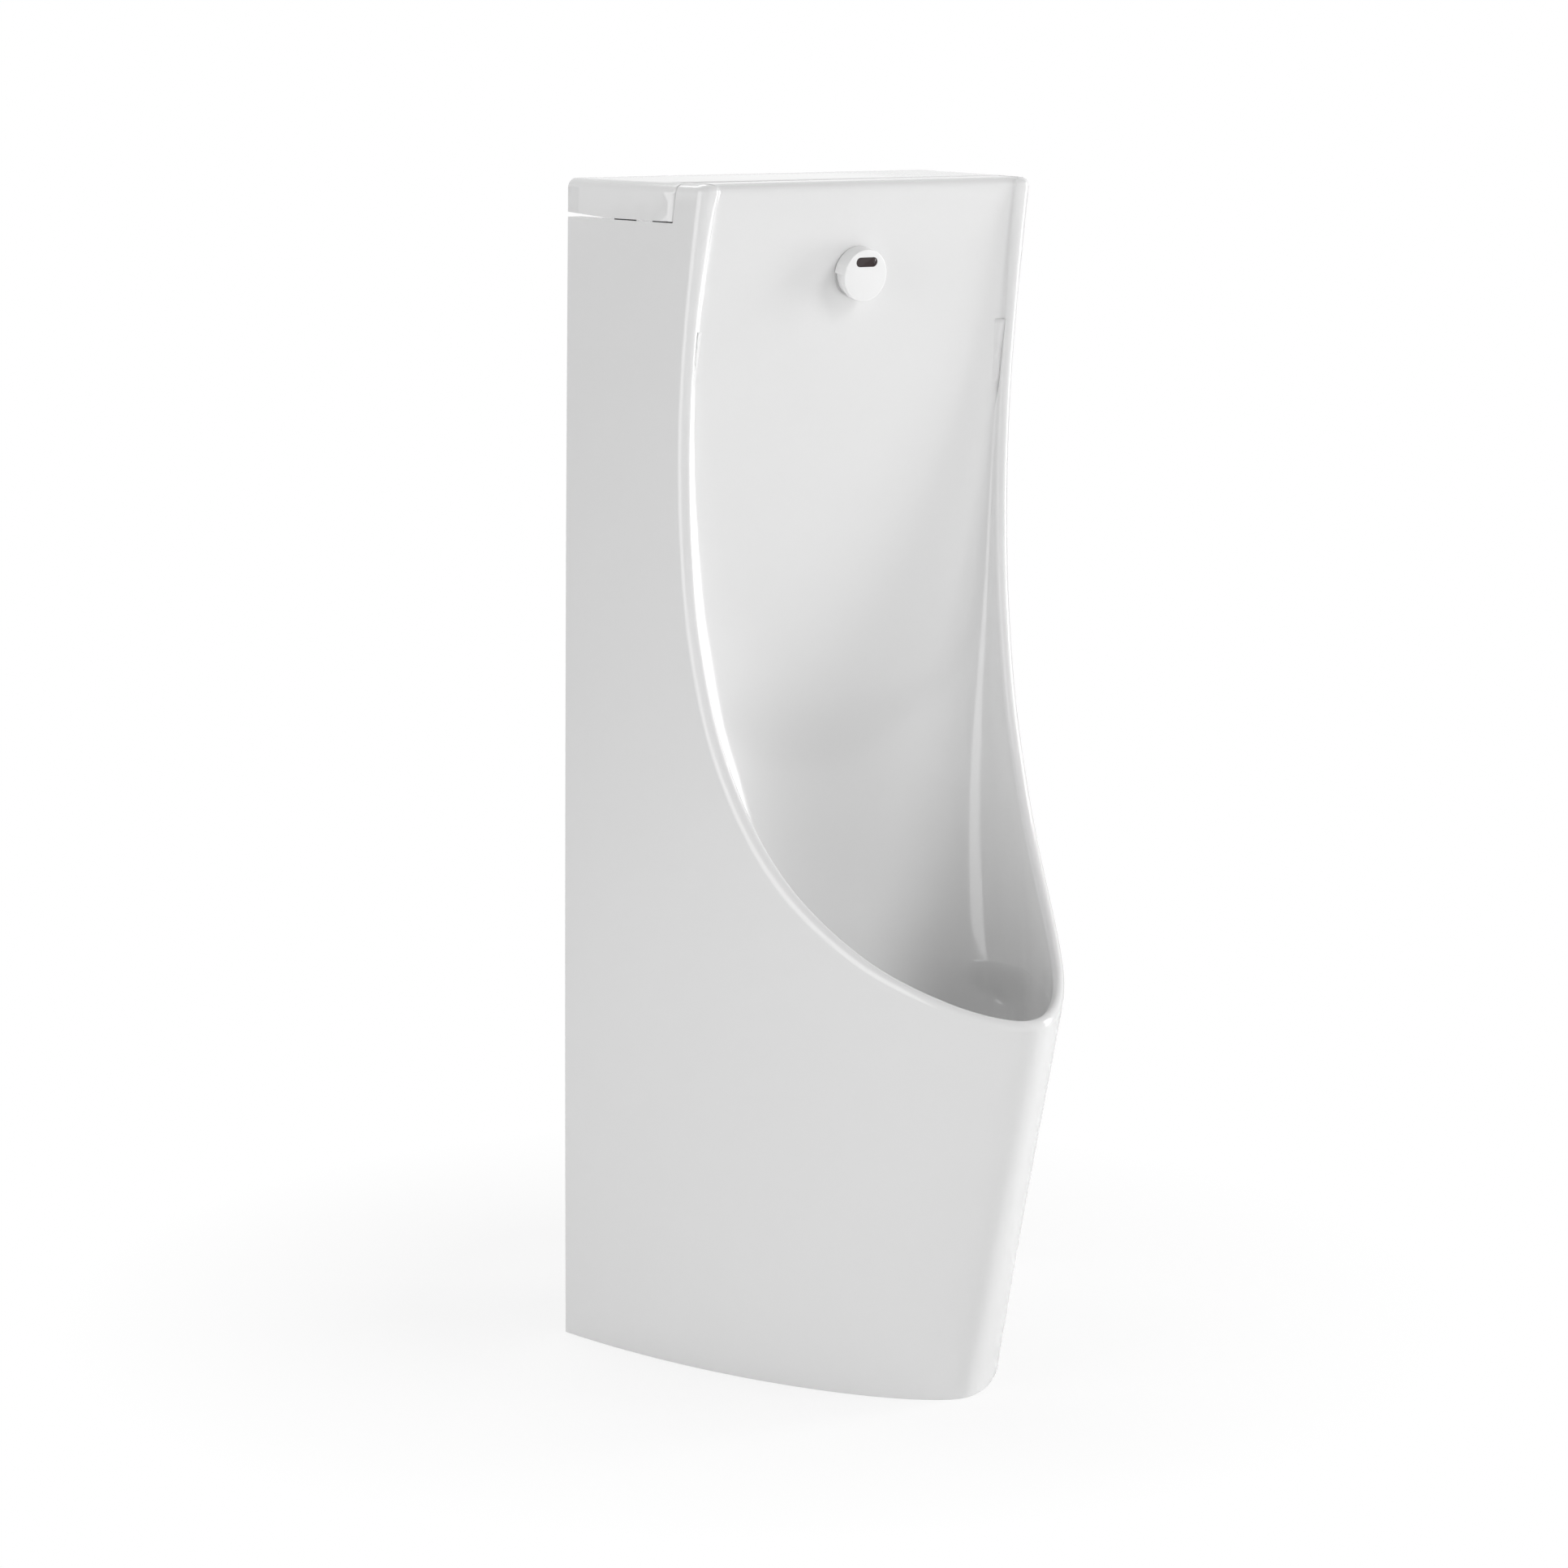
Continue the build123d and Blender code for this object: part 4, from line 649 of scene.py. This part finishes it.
class Fittings(bpy.types.Operator):
    """Every other piece: a welded copy of its CAD node with smooth shading and its own finish."""

    bl_idname = "urinal.fittings"
    bl_label = "Fittings"

    def execute(self, context):
        colours = context.scene.urinal_fittings
        finishes = {
            "white_plastic": finish_of("White plastic", colours.plastic, 0.38, grain=900, depth=0.03),
            "dark_window": finish_of("Dark window", colours.window, 0.12, grain=60, depth=0.002),
            "circuit": finish_of("Circuit board", (0.02, 0.12, 0.05), 0.4, grain=700, depth=0.05),
            "dark_rubber": finish_of("Rubber", colours.rubber, 0.55, grain=900, depth=0.04),
            "brass": finish_of("Brass", colours.brass, 0.28, 1.0, grain=500, depth=0.01, spread=0.1),
            "steel": finish_of("Steel", colours.steel, 0.3, 1.0, grain=700, depth=0.01, spread=0.1),
            "chrome": finish_of("Chrome", (0.75, 0.76, 0.78), 0.08, 1.0, grain=200, depth=0.002, spread=0.03),
            "grey_plastic": finish_of("Grey plastic", colours.grey, 0.42, grain=800, depth=0.03),
            "dark_plastic": finish_of("Black plastic", (0.02, 0.02, 0.022), 0.4, grain=800, depth=0.03),
            "cell": finish_of("Cell jacket", (0.03, 0.06, 0.12), 0.25, grain=300, depth=0.003),
        }
        pale = finish_of("Pale rubber", (0.6, 0.6, 0.6), 0.5, grain=900, depth=0.04)
        for node in sorted(nodes):
            if slot_of_node[node] in finishes:
                work = merged_copy(node)
                mesh = bpy.data.meshes.new(node)
                work.to_mesh(mesh)
                work.free()
                finish = pale if node == "head_gasket" else finishes[slot_of_node[node]]
                place(mesh, node + "_dressed", node, finish, FITTING_SHARP)
        return {"FINISHED"}


def area_lamp(name, place_mm, aim_mm, size_mm, power):
    """A rectangular lamp at a place, turned to a point."""
    data = bpy.data.lights.new(name, "AREA")
    data.shape = "RECTANGLE"
    data.size, data.size_y = size_mm[0] * MM, size_mm[1] * MM
    data.energy = power
    lamp = bpy.data.objects.new(name, data)
    lamp.location = Vector(place_mm) * MM
    lamp.rotation_mode = "QUATERNION"
    lamp.rotation_quaternion = (Vector(aim_mm) - Vector(place_mm)).to_track_quat("-Z", "Y")
    bpy.context.scene.collection.objects.link(lamp)
    return lamp


def camera_white(tree, shaded, white):
    """Shows plain white to the camera, glossy and transmission rays, and the shaded value to all others."""
    path = tree.nodes.new("ShaderNodeLightPath")
    seen = path.outputs["Is Camera Ray"]
    for other in ("Is Glossy Ray", "Is Transmission Ray"):
        either = tree.nodes.new("ShaderNodeMath")
        either.operation = "MAXIMUM"
        tree.links.new(seen, either.inputs[0])
        tree.links.new(path.outputs[other], either.inputs[1])
        seen = either.outputs[0]
    mix = tree.nodes.new("ShaderNodeMixShader")
    tree.links.new(seen, mix.inputs["Fac"])
    tree.links.new(shaded, mix.inputs[1])
    tree.links.new(white, mix.inputs[2])
    return mix.outputs[0]


class Studio(bpy.types.Operator):
    """Pale floor, white surroundings, soft lamps and the camera."""

    bl_idname = "urinal.studio"
    bl_label = "Studio"

    def execute(self, context):
        scene, studio = context.scene, context.scene.urinal_studio
        world = bpy.data.worlds.new("Surroundings")
        scene.world = world
        world.use_nodes = True
        tree = world.node_tree
        shade = tree.nodes["Background"]
        shade.inputs["Color"].default_value = (1, 1, 1, 1)
        shade.inputs["Strength"].default_value = studio.sky
        white = tree.nodes.new("ShaderNodeBackground")
        white.inputs["Color"].default_value = (1, 1, 1, 1)
        seen = camera_white(tree, shade.outputs[0], white.outputs[0])
        tree.links.new(seen, tree.nodes["World Output"].inputs["Surface"])
        floor = bpy.data.meshes.new("floor")
        corners = [(x * FLOOR_REACH, y * FLOOR_REACH, 0) for x, y in ((-1, -1), (1, -1), (1, 1), (-1, 1))]
        floor.from_pydata(corners, [], [(0, 1, 2, 3)])
        piece = bpy.data.objects.new("floor", floor)
        piece.location.z = -FLOOR_GAP
        scene.collection.objects.link(piece)
        material = bpy.data.materials.new("Floor")
        material.use_nodes = True
        tree = material.node_tree
        shader = tree.nodes["Principled BSDF"]
        shader.inputs["Base Color"].default_value = (*studio.floor, 1)
        shader.inputs["Roughness"].default_value = 0.9
        bright = tree.nodes.new("ShaderNodeEmission")
        bright.inputs["Color"].default_value = (1, 1, 1, 1)
        floor.materials.append(material)
        away = tree.nodes.new("ShaderNodeTexCoord")
        distance = tree.nodes.new("ShaderNodeVectorMath")
        distance.operation = "LENGTH"
        tree.links.new(away.outputs["Object"], distance.inputs[0])
        fade = tree.nodes.new("ShaderNodeMapRange")
        fade.inputs["From Min"].default_value = FADE_START
        fade.inputs["From Max"].default_value = FADE_END
        fade.inputs["To Min"].default_value = studio.veil
        tree.links.new(distance.outputs["Value"], fade.inputs["Value"])
        path = tree.nodes.new("ShaderNodeLightPath")
        factor = tree.nodes.new("ShaderNodeMath")
        factor.operation = "MULTIPLY"
        tree.links.new(fade.outputs["Result"], factor.inputs[0])
        tree.links.new(path.outputs["Is Camera Ray"], factor.inputs[1])
        mix = tree.nodes.new("ShaderNodeMixShader")
        tree.links.new(factor.outputs[0], mix.inputs["Fac"])
        tree.links.new(shader.outputs[0], mix.inputs[1])
        tree.links.new(bright.outputs[0], mix.inputs[2])
        tree.links.new(mix.outputs[0], tree.nodes["Material Output"].inputs["Surface"])
        for name, (where, aim, size, reflected) in LAMPS.items():
            lamp = area_lamp(name.capitalize(), where, aim, size, getattr(studio, name))
            lamp.visible_glossy = reflected
        camera = bpy.data.objects.new("Camera", bpy.data.cameras.new("Camera"))
        camera.data.lens = CAMERA_LENS
        camera.data.sensor_width = SENSOR_WIDTH
        camera.data.clip_end = 100
        yaw, pitch = math.radians(CAMERA_YAW), math.radians(CAMERA_PITCH)
        ahead = Vector((math.sin(yaw) * math.cos(pitch), math.cos(yaw) * math.cos(pitch), -math.sin(pitch)))
        camera.location = Vector(CAMERA_PLACE) * MM
        camera.rotation_euler = ahead.to_track_quat("-Z", "Y").to_euler()
        scene.collection.objects.link(camera)
        scene.camera = camera
        scene.view_settings.view_transform = "Standard"
        return {"FINISHED"}


class UrinalPanel(bpy.types.Panel):
    """Lists the pieces and their settings."""

    bl_label = "Urinal"
    bl_idname = "VIEW3D_PT_urinal"
    bl_space_type = "VIEW_3D"
    bl_region_type = "UI"
    bl_category = "Urinal"

    def draw(self, context):
        for operator in OPERATORS:
            self.layout.operator(operator.bl_idname)
        for group in (context.scene.urinal_body, context.scene.urinal_fittings, context.scene.urinal_studio):
            for name in group.__annotations__:
                self.layout.prop(group, name)


SETTINGS = {"urinal_body": BodySettings, "urinal_fittings": FittingSettings, "urinal_studio": StudioSettings}
OPERATORS = (CeramicBody, TopCover, Fittings, Studio)


def register():
    for kind in (*SETTINGS.values(), *OPERATORS, UrinalPanel):
        bpy.utils.register_class(kind)
    for name, kind in SETTINGS.items():
        setattr(bpy.types.Scene, name, PointerProperty(type=kind))


def unregister():
    for name in SETTINGS:
        delattr(bpy.types.Scene, name)
    for kind in reversed((*SETTINGS.values(), *OPERATORS, UrinalPanel)):
        bpy.utils.unregister_class(kind)


def main():
    """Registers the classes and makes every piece."""
    register()
    for operator in OPERATORS:
        group, name = operator.bl_idname.split(".")
        getattr(getattr(bpy.ops, group), name)()


if __name__ == "__main__":
    main()
